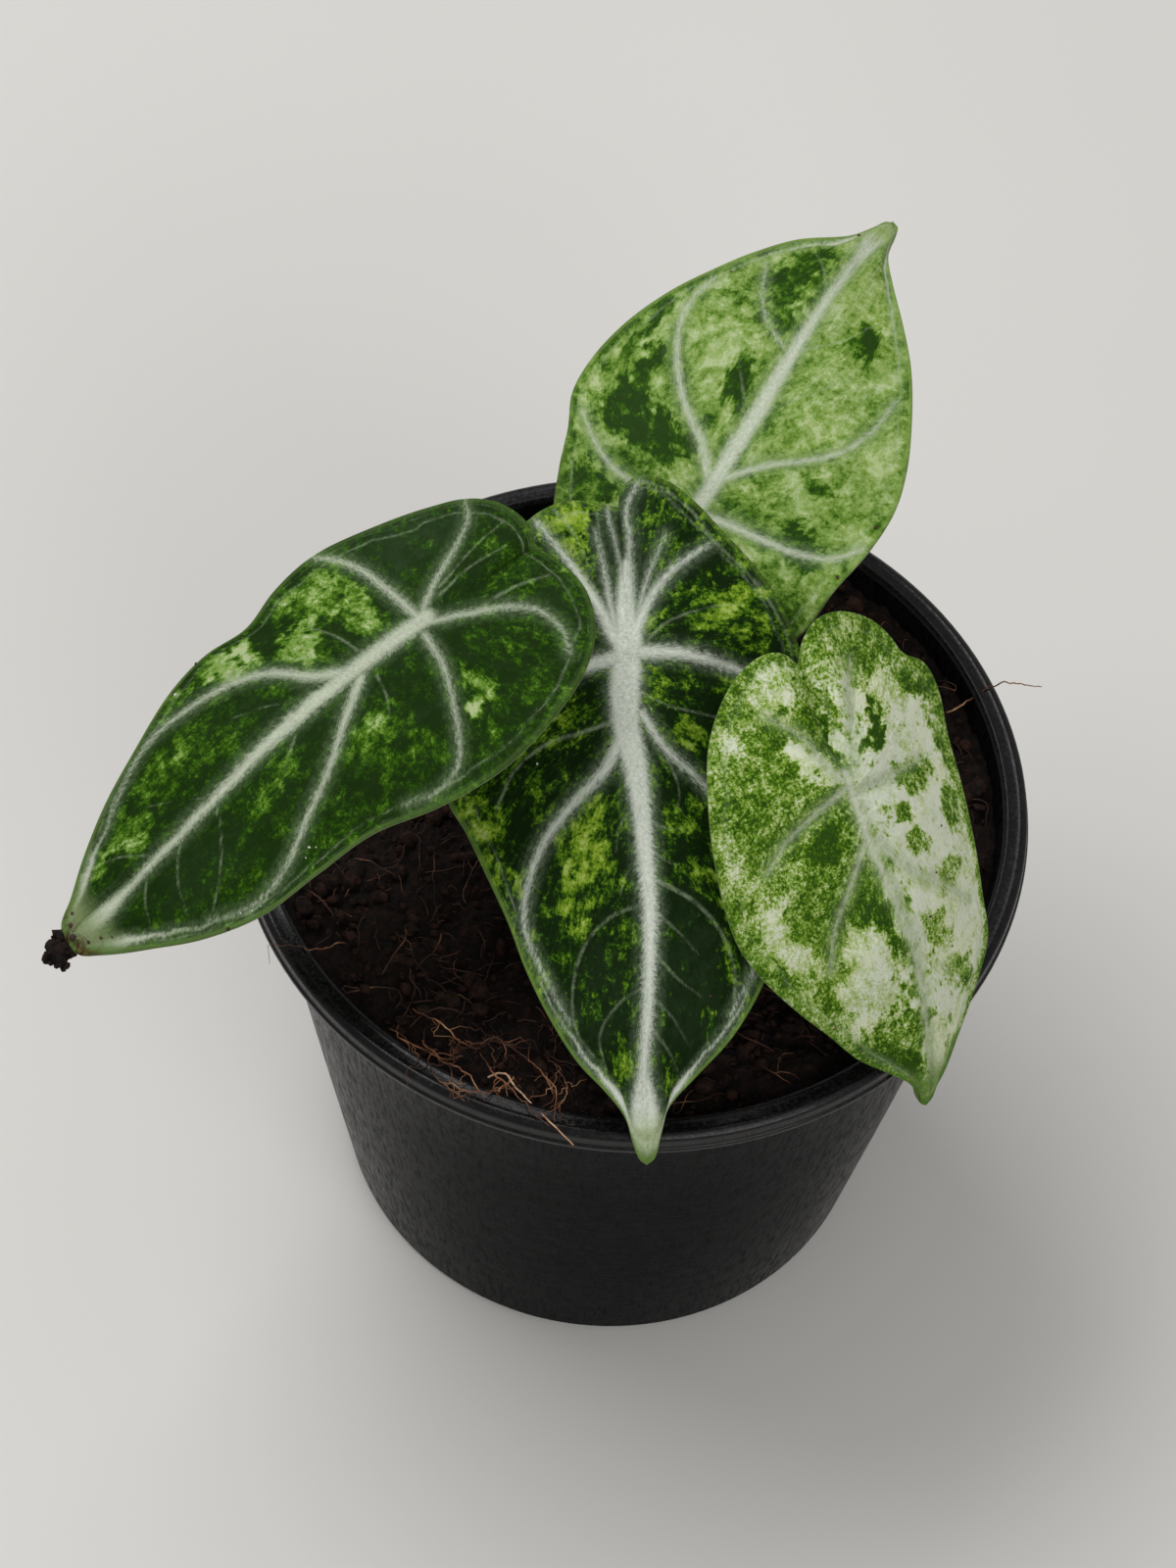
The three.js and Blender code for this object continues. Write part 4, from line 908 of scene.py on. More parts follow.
def make_blade(name, leaf, material, seed):
    """One blade, in two halves of lines that run from the midrib to the margin and back underneath."""
    axes = frame_of(leaf)
    vertices, faces, fields = [], [], {}
    count = 0
    w = np.linspace(0, 1, TOP_RINGS + 1)
    for half, side in enumerate(("port", "starboard")):
        starts, bends, ends, between, places, length = rib_lines(leaf, axes, side)
        lines = len(starts)
        uv = (
            starts[:, None] * ((1 - w) ** 2)[:, None]
            + bends[:, None] * (2 * w * (1 - w))[:, None]
            + ends[:, None] * (w**2)[:, None]
        )
        u, v = uv[..., 0], uv[..., 1]
        rim = np.linalg.norm(uv - uv[:, -1:], axis=2).ravel()
        grid_fields = surface_fields(leaf, uv.reshape(-1, 2), rim, leaf["margin_tone"][half])
        gap = grid_fields["vein_gap"].reshape(u.shape)
        thread = grid_fields["thread_gap"].reshape(u.shape)

        # The relief of the top face and the thickness below it
        f = between[:, None]
        quilt = QUILT_HEIGHT * 4 * f * (1 - f) * np.sin(pi * np.minimum(w / 0.9, 1))
        groove = VEIN_GROOVE * (1 - 0.8 * w) * (1 - smoothstep(gap, -0.4, 1.5))
        groove = groove + THREAD_GROOVE * (1 - smoothstep(thread, -0.2, 0.5))
        waves = np.sin(2 * pi * MARGIN_WAVES * places) * np.sin(pi * places)
        wave = MARGIN_WAVE * w**3 * waves[:, None]
        ripple = lattice_noise(u / RIPPLE_LENGTH, v / RIPPLE_LENGTH, seed + 3, octaves=4)
        ripple = RIPPLE_HEIGHT * ripple * (1 - w**6)
        beak = smoothstep(u, axes["length"] - BEAK_LENGTH, axes["length"] - 2)
        top = quilt - groove + wave + ripple + BEAK_CROWN * beak * (1 - w**2)
        sheet = BLADE_THICKNESS + (MARGIN_THICKNESS - BLADE_THICKNESS) * w
        rib_fade = np.where(u < 0, 0.5, 1 - u / axes["length"])
        away = np.hypot(v - midline_across(leaf, axes, u), np.minimum(u - starts[0, 0], 0))
        midrib = MIDRIB_DEPTH * rib_fade * np.exp(-((away / MIDRIB_REACH) ** 2))
        side_rib = VEIN_DEPTH * (1 - w) * np.exp(-((np.maximum(gap, 0) / VEIN_REACH) ** 2))
        thickness = sheet + BEAK_EXTRA_THICKNESS * beak + np.maximum(midrib, side_rib)

        # Rows of points: the top, three rows round the margin, and the underside with fewer rows.
        # source is the row of the top that each takes its fields from.
        source = list(range(TOP_RINGS + 1)) + [TOP_RINGS] * len(MARGIN_ROUNDING)
        source += range(TOP_RINGS, -1, -UNDER_EVERY)
        rows = len(source)
        under_start = TOP_RINGS + 1 + len(MARGIN_ROUNDING)
        all_uv = uv[:, source]
        height = np.where(np.arange(rows) < under_start, top[:, source], (top - thickness)[:, source])
        out = uv[:, -1] - uv[:, -2]
        out = out / np.maximum(np.linalg.norm(out, axis=1, keepdims=True), 1e-6)
        edge_thickness = thickness[:, -1]
        for row, angle in enumerate(MARGIN_ROUNDING, TOP_RINGS + 1):
            a = radians(angle)
            all_uv[:, row] += out * (MARGIN_BULGE * edge_thickness * sin(a))[:, None]
            height[:, row] -= edge_thickness * (1 - cos(a)) / 2
        vertices.append(on_blade(leaf, axes, all_uv[..., 0], all_uv[..., 1], height).reshape(-1, 3))

        # Fields: where each point lies on the flat blade, and on a blade combed straight along its ribs
        offset = seed * 40.0
        under = np.zeros((lines, rows))
        under[:, TOP_RINGS + 1] = 0.4
        under[:, TOP_RINGS + 2:] = 1
        flow = np.stack([
            np.repeat(places[:, None] * length * 0.8, rows, 1),
            np.repeat(w[source][None, :] * 26, lines, 0),
            np.full((lines, rows), offset + (13 if side == "port" else 0)),
        ], 2)
        flat = np.concatenate([all_uv, np.full((lines, rows, 1), offset)], 2)
        for key, values in grid_fields.items():
            fields.setdefault(key, []).append(values.reshape(u.shape)[:, source].ravel())
        fields.setdefault("underside", []).append(under.ravel())
        fields.setdefault("flat_place", []).append(flat.reshape(-1, 3))
        fields.setdefault("flow_place", []).append(flow.reshape(-1, 3))

        # Faces between neighbouring lines, facing out on both halves
        index = count + np.arange(lines * rows).reshape(lines, rows)
        a, b, c, d = index[:-1, :-1], index[:-1, 1:], index[1:, 1:], index[1:, :-1]
        faces.append(np.stack([a, d, c, b] if side == "port" else [a, b, c, d], -1).reshape(-1, 4))
        count += lines * rows
    made = new_object(name, np.vstack(vertices), np.vstack(faces).tolist(), material)
    for key, values in fields.items():
        add_field(made, key, np.concatenate(values))
    weld(made, 0.004)
    return made


# Noises of a blade: scale per mm, detail, roughness and distortion.
# The finest one takes its scale from the leaf's grain.
FINE_NOISE = (6, 0.82)
BLOTCH_NOISE = (0.62, 5, 0.72, 0.6)
FIELD_NOISE = (0.2, 3, 0.6, 0.8)
STREAK_NOISE = (0.6, 5, 0.75)
DRIFT_NOISE = (0.11, 2, 0.5)
BRISTLE_NOISE = (1.7, 5, 0.8)
COMB_NOISE = (1.3, 4, 0.75)
FROST_NOISE = (6, 2, 0.7)
HALO_NOISE = (1.1, 5, 0.75)
THREAD_NOISE = (0.4, 4, 0.7)
PAINTED_SHEEN_NOISE = (0.5, 5, 0.7)
PUCKER_NOISE = (0.8, 4, 0.6)
DULL_NOISE = (0.8, 3, 0.6)
PAPILLA_SCALE = 5.5

# How the combed blade is stretched for streaks, for the combed edges of veins and for puckers
STREAK_STRETCH = (1.0, 0.45, 1)
COMB_STRETCH = (2.6, 0.7, 1)
PUCKER_STRETCH = (0.9, 0.5, 1)

# How far noise frays veins, threads, the margin and the beak, in mm
VEIN_FRAY = 2.0
COMB_FRAY = 2.2
THREAD_FRAY = 0.55
MARGIN_FRAY = 1.2
BEAK_FRAY = 2.5

# How far behind the tip the beak's green and the wet stain begin and are full, in mm
BEAK_GREEN = (8.5, 3.5)
STAIN = (4.4, 0.4)


def leaf_material(name, leaf):
    """Velvety variegated blade: speckled greens to cream, pale feathered veins, a pale margin and beak, and
    painted sheen.
    """
    g = Graph("blade_" + name)
    flat, flow = g.vector("flat_place"), g.vector("flow_place")
    tone, painted_sheen, rim = g.value("tone"), g.value("painted_sheen"), g.value("rim")
    vein_gap, thread_gap, underside = g.value("vein_gap"), g.value("thread_gap"), g.value("underside")

    # Speckles: fine ones, blotches of two sizes, and streaks that run from the midrib to the margin.
    # All but the largest die down where the blade is cream.
    fine = g.noise(flat, leaf["grain"], *FINE_NOISE)
    blotch = g.noise(flat, *BLOTCH_NOISE)
    field = g.noise(flat, *FIELD_NOISE)
    streak = g.noise(g.stretch(flow, STREAK_STRETCH), *STREAK_NOISE)
    calm = g.smooth(tone, 0.66, 0.95, 1, 0.42)
    fine_part, blotch_part, field_part, streak_part = leaf["speckle"]
    speckle = g.shaken(tone, fine, g.times(calm, fine_part))
    speckle = g.shaken(speckle, blotch, g.times(calm, blotch_part))
    speckle = g.shaken(speckle, field, field_part)
    speckle = g.shaken(speckle, streak, g.times(calm, streak_part))
    stops, colours = [], []
    for centre, colour in zip(PALETTE_STOPS, leaf["palette"]):
        stops += [max(centre - 0.03, 0), min(centre + 0.02, 1)]
        colours += [colour] * 2
    greens = g.ramp(speckle, stops, colours)
    drift = g.noise(flat, *DRIFT_NOISE)
    greens = g.mix(g.smooth(drift, 0.35, 0.7, 0, 0.3), greens, YELLOW_DRIFT, "MULTIPLY")

    # Veins: feathered pale edges with frosted grain, a thin soft halo, and threads of fine veins
    bristle = g.noise(flat, *BRISTLE_NOISE)
    comb = g.noise(g.stretch(flow, COMB_STRETCH), *COMB_NOISE)
    frost = g.noise(flat, *FROST_NOISE)
    ragged = g.shaken(g.shaken(vein_gap, bristle, VEIN_FRAY), comb, COMB_FRAY)
    vein = g.times(g.smooth(ragged, 0.4, -1.0), g.smooth(frost, 0.2, 0.55, 0.74, 1))
    halo = g.times(g.smooth(ragged, 1.9, -0.3), g.smooth(g.noise(flat, *HALO_NOISE), 0.3, 0.7, 0.15, 0.75))
    thread = g.times(
        g.smooth(g.shaken(thread_gap, bristle, THREAD_FRAY), 0.2, -0.3, 0, leaf["thread_strength"]),
        g.smooth(g.noise(flat, *THREAD_NOISE), 0.34, 0.62, 0.15, 1),
    )
    # Painted sheen: a grey-green film over the greens in the sheen patches, standing in for light glancing
    # off the velvet
    painted_sheen_film = g.times(painted_sheen, g.smooth(g.noise(flat, *PAINTED_SHEEN_NOISE), 0.3, 0.75, 0.1, 0.6))
    colour = g.mix(g.times(painted_sheen_film, 0.5), greens, PAINTED_SHEEN_COLOUR)
    colour = g.mix(halo, colour, leaf["halo"])
    colour = g.mix(thread, colour, THREAD_COLOUR)
    colour = g.mix(vein, colour, g.mix(g.smooth(bristle, 0.35, 0.65), *leaf["vein_colours"]))

    # Margin and beak
    length = frame_of(leaf)["length"]
    ahead = g.part(flat, 0)
    grain = g.shaken(rim, fine, MARGIN_FRAY)
    edge = g.smooth(grain, 0.9, 0.2, 0, leaf["edge_strength"])
    edge = g.times(edge, g.smooth(ahead, 0, 0.6 * length, 0.4, 1))
    colour = g.mix(edge, colour, leaf["edge_green"])
    beak = g.smooth(g.shaken(ahead, bristle, BEAK_FRAY), *(length - behind for behind in BEAK_GREEN))
    beak_green = g.mix(g.smooth(fine, 0.3, 0.7), *leaf["beak_colours"])
    beak_green = g.mix(g.smooth(grain, 2.3, 0.6), beak_green, leaf["edge_green"])
    colour = g.mix(g.times(beak, 0.85), colour, beak_green)
    under = g.mix(g.smooth(vein_gap, 0.5, -0.3, 0, 0.6), UNDER_COLOUR, UNDER_VEIN_COLOUR)
    under = g.mix(0.3, under, greens)
    colour = g.mix(g.smooth(underside, 0.3, 0.8), colour, under)

    # Wet soil has stained the tip of the left leaf
    if name == "left":
        stain = g.smooth(ahead, *(length - behind for behind in STAIN))
        stain = g.times(stain, g.smooth(blotch, 0.42, 0.6))
        colour = g.mix(stain, colour, WET_STAIN)

    # Velvet: tiny cells that catch the light, over small puckers between the finest veins
    papillae = g.cells(flat, PAPILLA_SCALE)
    pucker = g.noise(g.stretch(flow, PUCKER_STRETCH), *PUCKER_NOISE)
    normal = g.bump(pucker, 0.8, 0.5)
    normal = g.bump(g.math("SUBTRACT", papillae, vein), 0.07, 0.4, normal)
    roughness = g.smooth(g.noise(flat, *DULL_NOISE), 0.3, 0.7, 0.46, 0.6)
    g.set(Base_Color=colour, Roughness=roughness, Normal=normal)
    g.set(Specular_IOR_Level=0.05, Sheen_Weight=0.01, Sheen_Roughness=0.4, Sheen_Tint=(0.85, 1, 0.8, 1))
    return g.material


# Stems

def stem_line(leaf):
    """Points and radii of a stem, from inside the soil to the hub of its blade."""
    axes = frame_of(leaf)
    ground = np.array([*leaf["foot"], STEM_GROUND])
    under = BLADE_THICKNESS + MIDRIB_DEPTH + VEIN_GROOVE + STEM_CLEARANCE
    top = axes["attach"] - axes["normal"] * under
    handle = STEM_HANDLE * float(np.linalg.norm(top - ground))
    p1, p2 = ground + np.array([0, 0, handle]), top - axes["normal"] * handle
    t = np.linspace(0, 1, STEM_RINGS)[:, None]
    bend = ground * (1 - t) ** 3 + 3 * p1 * t * (1 - t) ** 2 + 3 * p2 * t * t * (1 - t) + top * t**3
    taper = (STEM_TOP_RADIUS - STEM_FOOT_RADIUS) * smoothstep(t[:, 0], 0, 0.6)
    radius = STEM_FOOT_RADIUS + taper + STEM_FLARE * smoothstep(t[:, 0], 0.85, 1)
    inside = top + axes["normal"] * np.array([0.8, 1.6])[:, None]
    deep = ground - np.array([[0, 0, 9.0], [0, 0, 5.0], [0, 0, 2.5]])
    return np.vstack([deep, bend, inside]), np.concatenate([[STEM_FOOT_RADIUS] * 3, radius, [3.1, 2.2]])


def make_stem(name, leaf, material, seed):
    points, radii = stem_line(leaf)
    phase = np.random.default_rng(seed).uniform(0, 2 * pi, 3)

    def flute(i, angle):
        base = 1 - i / len(points)
        groove = 0.05 * np.cos(2 * angle + phase[0]) + 0.02 * np.cos(5 * angle + phase[1])
        sheath = 0.1 * base**3 * np.cos(angle + phase[2])
        return 1 + groove + sheath

    made = joined(name, [tube(points, radii, STEM_SIDES, flute)], material)
    add_field(made, "along", np.repeat(np.linspace(0, 1, len(points)), STEM_SIDES))
    return made


# How noise is drawn out into streaks along the height of a stem or a pot
UPRIGHT_STREAKS = (1, 1, 0.12)


def stem_material():
    """Fleshy pale green stem with fine lengthwise streaks and small darker flecks."""
    flesh, streak_colour, fleck_colour, foot_colour = STEM_COLOURS
    g = Graph("petiole_flesh")
    place = g.place()
    streaks = g.noise(g.stretch(place, UPRIGHT_STREAKS), 1.6, 4, 0.6)
    flecks = g.noise(g.stretch(place, (1, 1, 0.5)), 2.2, 4, 0.75)
    colour = g.mix(streaks, flesh, streak_colour)
    colour = g.mix(g.smooth(flecks, 0.56, 0.68, 0, 0.5), colour, fleck_colour)
    colour = g.mix(g.smooth(g.value("along"), 0.3, 0.0, 0, 0.5), colour, foot_colour)
    normal = g.bump(g.plus(streaks, flecks), 0.12, 0.35)
    g.set(Base_Color=colour, Normal=normal, Roughness=g.smooth(flecks, 0.3, 0.7, 0.36, 0.55))
    g.set(Specular_IOR_Level=0.4, Subsurface_Weight=0.06, Subsurface_Scale=0.002)
    return g.material


# Pot

def inner_wall(height):
    return FOOT_RADIUS - WALL + (RIM_INNER_RADIUS - FOOT_RADIUS + WALL) * height / POT_HEIGHT


def rounded(profile, steps=4):
    """The closed profile of (radius, height, rounding) with each corner turned into a small arc."""
    points = []
    count = len(profile)
    for i, (r, z, size) in enumerate(profile):
        here = np.array([r, z], float)
        if size <= 0:
            points.append(here)
            continue
        before = np.array(profile[(i - 1) % count][:2], float)
        after = np.array(profile[(i + 1) % count][:2], float)
        to_before, to_after = before - here, after - here
        cut = min(size, 0.45 * np.linalg.norm(to_before), 0.45 * np.linalg.norm(to_after))
        start, end = here + unit(to_before) * cut, here + unit(to_after) * cut
        for t in np.linspace(0, 1, steps + 1):
            points.append(start * (1 - t) ** 2 + 2 * here * t * (1 - t) + end * t * t)
    return np.array(points)


def pot_profile():
    """The pot's section, from the pad in the middle of its bottom round the rim and back inside."""
    skirt = POT_HEIGHT - RIM_DEPTH
    slope = (RIM_INNER_RADIUS + WALL - FOOT_RADIUS) / POT_HEIGHT
    under_rim = POT_HEIGHT - WALL
    inner_foot = FOOT_RADIUS - WALL
    outer = [
        (CENTRE_PAD_RADIUS, 0, 0.5), (CENTRE_PAD_RADIUS + 1.5, FLOOR_LIFT, 0.5),
        (FOOT_INNER_RADIUS - 1.5, FLOOR_LIFT, 0.5), (FOOT_INNER_RADIUS, 0, 0.5), (FOOT_RADIUS - 1, 0, 0.4),
        (FOOT_RADIUS, 1, 0.4), (FOOT_RADIUS + slope * 30, 30, 0), (FOOT_RADIUS + slope * 60, 60, 0),
        (FOOT_RADIUS + slope * under_rim, under_rim, 0.3),
        (RIM_RADIUS - WALL, under_rim, 0.3), (RIM_RADIUS - WALL, skirt, 0.3),
    ]
    rim = [
        (RIM_RADIUS + RIM_BEAD, skirt, 0.35), (RIM_RADIUS + RIM_BEAD, skirt + 0.9, 0.3),
        (RIM_RADIUS - 0.1, skirt + 1.2, 0.25), (RIM_RADIUS - 0.1, POT_HEIGHT - 0.6, 0.5),
        (RIM_RADIUS - 1.1, POT_HEIGHT, 0.5), (RIM_RADIUS - 1.7, POT_HEIGHT - 0.12, 0.2),
        (RIM_INNER_RADIUS + 1.3, POT_HEIGHT - 0.12, 0.2), (RIM_INNER_RADIUS + 0.8, POT_HEIGHT, 0.3),
        (RIM_INNER_RADIUS, POT_HEIGHT - 0.5, 0.4),
    ]
    inner = [
        (inner_wall(60), 60, 0), (inner_wall(30), 30, 0), (inner_wall(WALL + 1), WALL + 1, 0.5),
        (inner_foot - 1, WALL, 0.5), (FOOT_INNER_RADIUS + 0.8, WALL, 0.4),
        (FOOT_INNER_RADIUS - 0.7, FLOOR_LIFT + WALL, 0.4), (CENTRE_PAD_RADIUS + 0.7, FLOOR_LIFT + WALL, 0.4),
        (CENTRE_PAD_RADIUS - 0.8, WALL, 0.4),
    ]
    return rounded(outer + rim + inner)


def make_pot(material):
    """The pot, turned from its section, with its drain holes cut."""
    profile = pot_profile()
    angles = angles_round(POT_SEGMENTS)
    middle = np.array([[0, 0, 0.0], [0, 0, WALL]])
    vertices = np.vstack([circle(r, angles, z) for r, z in profile] + [middle])
    faces = ring_faces(len(profile), POT_SEGMENTS)
    bottom = len(profile) * POT_SEGMENTS
    top, last = bottom + 1, bottom - POT_SEGMENTS
    for s in range(POT_SEGMENTS):
        n = (s + 1) % POT_SEGMENTS
        faces += [(bottom, n, s), (top, last + s, last + n)]
    pot = new_object("pot_body", vertices, faces, material)
    drains = []
    for i in range(DRAIN_COUNT):
        angle = 2 * pi * (i + 0.5) / DRAIN_COUNT
        x, y = DRAIN_CIRCLE * cos(angle), DRAIN_CIRCLE * sin(angle)
        drains.append(tube([(x, y, -1), (x, y, 7)], [DRAIN_RADIUS] * 2, 32))
    cutter = joined("drain_cutter", drains, material)
    cut = pot.modifiers.new("drains", "BOOLEAN")
    cut.object, cut.operation, cut.solver = cutter, "DIFFERENCE", "EXACT"
    bpy.context.view_layer.update()
    solid = bpy.data.meshes.new_from_object(pot.evaluated_get(bpy.context.evaluated_depsgraph_get()))
    pot.modifiers.clear()
    pot.data = solid
    bpy.data.objects.remove(cutter)
    pot.data.set_sharp_from_angle(angle=radians(40))
    return pot


# How far below the top of the rim the dust and the shine begin
DUST_DEPTH = 11
SHINE_DEPTH = (11, 5)


def pot_material():
    """Thin black moulded plastic with an uneven skin and fine scuffs, dusty and glossy at the rim."""
    plastic, worn, dust_colour = POT_COLOURS
    g = Graph("pot_plastic")
    place = g.place()
    height = g.part(place, 2)
    skin = g.noise(place, 0.35, 4, 0.6)
    scuffs = g.noise(g.stretch(place, UPRIGHT_STREAKS), 1.4, 5, 0.72)
    rings = g.noise(g.stretch(place, (0.05, 0.05, 1)), 1.5, 3, 0.6)
    colour = g.mix(g.smooth(g.plus(skin, scuffs), 0.8, 1.3), plastic, worn)
    dust = g.smooth(g.noise(place, 0.9, 5, 0.75), 0.58, 0.76)
    dust = g.times(dust, g.smooth(height, POT_HEIGHT - DUST_DEPTH, POT_HEIGHT, 0.12, 0.6))
    colour = g.mix(dust, colour, dust_colour)
    roughness = g.plus(g.smooth(scuffs, 0.35, 0.75, 0.17, 0.46), g.times(dust, 0.4))
    normal = g.bump(g.plus(skin, g.times(rings, 0.7)), 0.25, 0.2)
    normal = g.bump(scuffs, 0.05, 0.12, normal)
    shine = g.smooth(height, *(POT_HEIGHT - depth for depth in SHINE_DEPTH), 0.012, 0.26)
    g.set(Base_Color=colour, Roughness=roughness, Normal=normal, Specular_IOR_Level=shine)
    return g.material


# Soil

def soil_height(x, y):
    """The smooth top of the soil, as in the part's source."""
    radius = np.hypot(x, y)
    crown = SOIL_CROWN_RISE * (1 - smoothstep(radius, 6, 34))
    lumps = np.sin(0.31 * x + 1.3) * np.cos(0.27 * y) + 0.7 * np.sin(0.53 * y - 0.41 * x)
    return SOIL_LEVEL + crown + 0.45 * lumps


# The soil's crumbly top: size and height of its clods and grains, and its bevel at the wall
CLOD_SIZE = 4.2
CLOD_HEIGHT = 0.85
GRAIN_SIZE = 1.3
GRAIN_HEIGHT = 0.9
TOP_SINK = 0.6
BEVEL_WIDTH = 2.5
BEVEL_DEPTH = 0.5
WALL_GAP = 0.3


def make_soil(material):
    """The soil with its crumbly top, down to the floor of the pot."""
    outer = inner_wall(SOIL_LEVEL) + 0.02
    r = outer * np.linspace(0.004, 1, SOIL_RINGS) ** 0.9
    angles = angles_round(SOIL_SEGMENTS)
    x, y = r[:, None] * np.cos(angles), r[:, None] * np.sin(angles)
    clods = lattice_noise(x / CLOD_SIZE, y / CLOD_SIZE, seed=11, octaves=2)
    grains = lattice_noise(x / GRAIN_SIZE, y / GRAIN_SIZE, seed=12, octaves=3, gain=0.65)
    z = soil_height(x, y) + CLOD_HEIGHT * clods + GRAIN_HEIGHT * np.abs(grains) - TOP_SINK
    edge = smoothstep(r, outer - BEVEL_WIDTH, outer)[:, None]
    z = np.minimum(z - BEVEL_DEPTH * edge, POT_HEIGHT - 1)
    levels = [SOIL_LEVEL - 3, 60, 30, FLOOR_LIFT + WALL + WALL_GAP]
    below = [circle(inner_wall(level) - WALL_GAP, angles, level) for level in levels]
    vertices = np.vstack([np.stack([x, y, z], 2).reshape(-1, 3)] + below)
    faces = [(a, d, c, b) for a, b, c, d in ring_faces(SOIL_RINGS + len(levels), SOIL_SEGMENTS)]
    bottom = len(vertices) - SOIL_SEGMENTS
    faces += [list(range(SOIL_SEGMENTS)), list(range(bottom, len(vertices)))[::-1]]
    made = new_object("soil_body", vertices, faces, material)
    weld(made, 0.0005)
    return made


def soil_material(name, dark, light, rust):
    """Damp coir and peat: nearly black, with rusty and tan bits."""
    g = Graph(name)
    place = g.place()
    lumps = g.noise(place, 0.6, 5, 0.7)
    bits = g.noise(place, 2.6, 4, 0.7)
    colour = g.mix(g.smooth(lumps, 0.35, 0.75), dark, light)
    colour = g.mix(g.smooth(bits, 0.6, 0.72, 0, 0.7), colour, rust)
    normal = g.bump(g.plus(lumps, bits), 0.5, 0.8)
    g.set(Base_Color=colour, Roughness=g.smooth(bits, 0.3, 0.7, 0.7, 0.98), Normal=normal)
    g.set(Specular_IOR_Level=0.25)
    return g.material


# Crumbs on the soil, and grains round the clump at the left leaf's tip
CRUMB_COUNT = 2600
CRUMB_SMALLEST = 0.3
CRUMB_SPREAD = 1.5
CRUMB_LIFT = 0.75
TIP_CLUMP = (1.7, 2.0, 1.4)
TIP_GRAIN_COUNT = 70
TIP_GRAIN_REACH = (2.0, 2.5, 1.5)


def make_crumbs(material):
    """Crumbs of many sizes, half sunk in the soil's top."""
    random = np.random.default_rng(5)
    parts = []
    reach = inner_wall(SOIL_LEVEL) - 1.0
    for _ in range(CRUMB_COUNT):
        r = reach * random.uniform(0, 1) ** 0.5
        angle = random.uniform(0, 2 * pi)
        size = CRUMB_SMALLEST + CRUMB_SPREAD * random.uniform(0, 1) ** 4
        r = min(r, reach - size)
        x, y = r * cos(angle), r * sin(angle)
        z = float(soil_height(x, y)) + random.uniform(0.0, CRUMB_LIFT)
        sizes = size * random.uniform(0.6, 1.3, 3)
        sizes[2] *= 0.7
        z = min(z, POT_HEIGHT - sizes[2] - 0.4)
        parts.append(lump((x, y, z), sizes, random.uniform(0, pi, 2), random, 1, 0.35))
    return joined("soil_crumbs", parts, material)


def make_tip_crumb(material):
    """The clump of wet soil on the left leaf's beak, with a few loose grains round it."""
    axes = frame_of(LEFT)
    tip = np.array(LEFT["tip"])
    centre = tip + unit(tip - axes["attach"]) * 1.9 - axes["normal"] * 0.8
    random = np.random.default_rng(21)
    parts = [lump(centre, TIP_CLUMP, (0.4, 0.3), random, 3, 0.4)]
    for _ in range(TIP_GRAIN_COUNT):
        away = unit(random.normal(0, 1, 3))
        spot = centre + away * TIP_GRAIN_REACH * random.uniform(0.7, 1.25)
        size = 0.2 + 0.75 * random.uniform(0, 1) ** 2
        sizes = size * random.uniform(0.7, 1.2, 3)
        parts.append(lump(spot, sizes, random.uniform(0, pi, 2), random, 1, 0.4))
    return joined("tip_crumb", parts, material)


# Fibres

# How much a fibre's heading wanders at each step, and how far it turns back near the rim, in radians
STRAND_WANDER = 0.225
STRAND_TURN_BACK = 1.2
STRAND_RIM_GAP = 1.6


def strand(random, start, heading, length, radius, lift, steps=14):
    """A thin wandering fibre that rises from start to lift and comes down again, kept inside the rim."""
    points = [np.array(start, float)]
    step = length / steps
    for i in range(steps):
        heading += random.normal(0, STRAND_WANDER)
        last = points[-1]
        x, y = last[0] + step * cos(heading), last[1] + step * sin(heading)
        if hypot(x, y) > RIM_INNER_RADIUS - STRAND_RIM_GAP:
            heading += STRAND_TURN_BACK
            x, y = last[0] + step * cos(heading), last[1] + step * sin(heading)
        ground = float(soil_height(x, y)) + 0.3
        points.append(np.array([x, y, ground + lift * sin(pi * (i + 1) / steps)]))
    return tube(points, radius * np.linspace(1, 0.55, steps + 1), 5)


# Strewn fibres: seed, number, and the ranges of their lengths, radii and lift
LONG_FIBRES = (9, 170, (4, 15), (0.06, 0.16), (0.2, 1.8))
SHORT_HAIRS = (10, 760, (1.2, 5), (0.05, 0.12), (0.1, 1.1))


def make_fibres(name, material, seed, count, lengths, radii, lift):
    """Fibres strewn over the soil."""
    random = np.random.default_rng(seed)
    parts = []
    for _ in range(count):
        r = (inner_wall(SOIL_LEVEL) - 3) * random.uniform(0.2, 1) ** 0.5
        angle = random.uniform(0, 2 * pi)
        x, y = r * cos(angle), r * sin(angle)
        start = (x, y, float(soil_height(x, y)) + 0.2)
        heading = random.uniform(0, 2 * pi)
        parts.append(strand(
            random, start, heading, random.uniform(*lengths), random.uniform(*radii), random.uniform(*lift)
        ))
    return joined(name, parts, material)


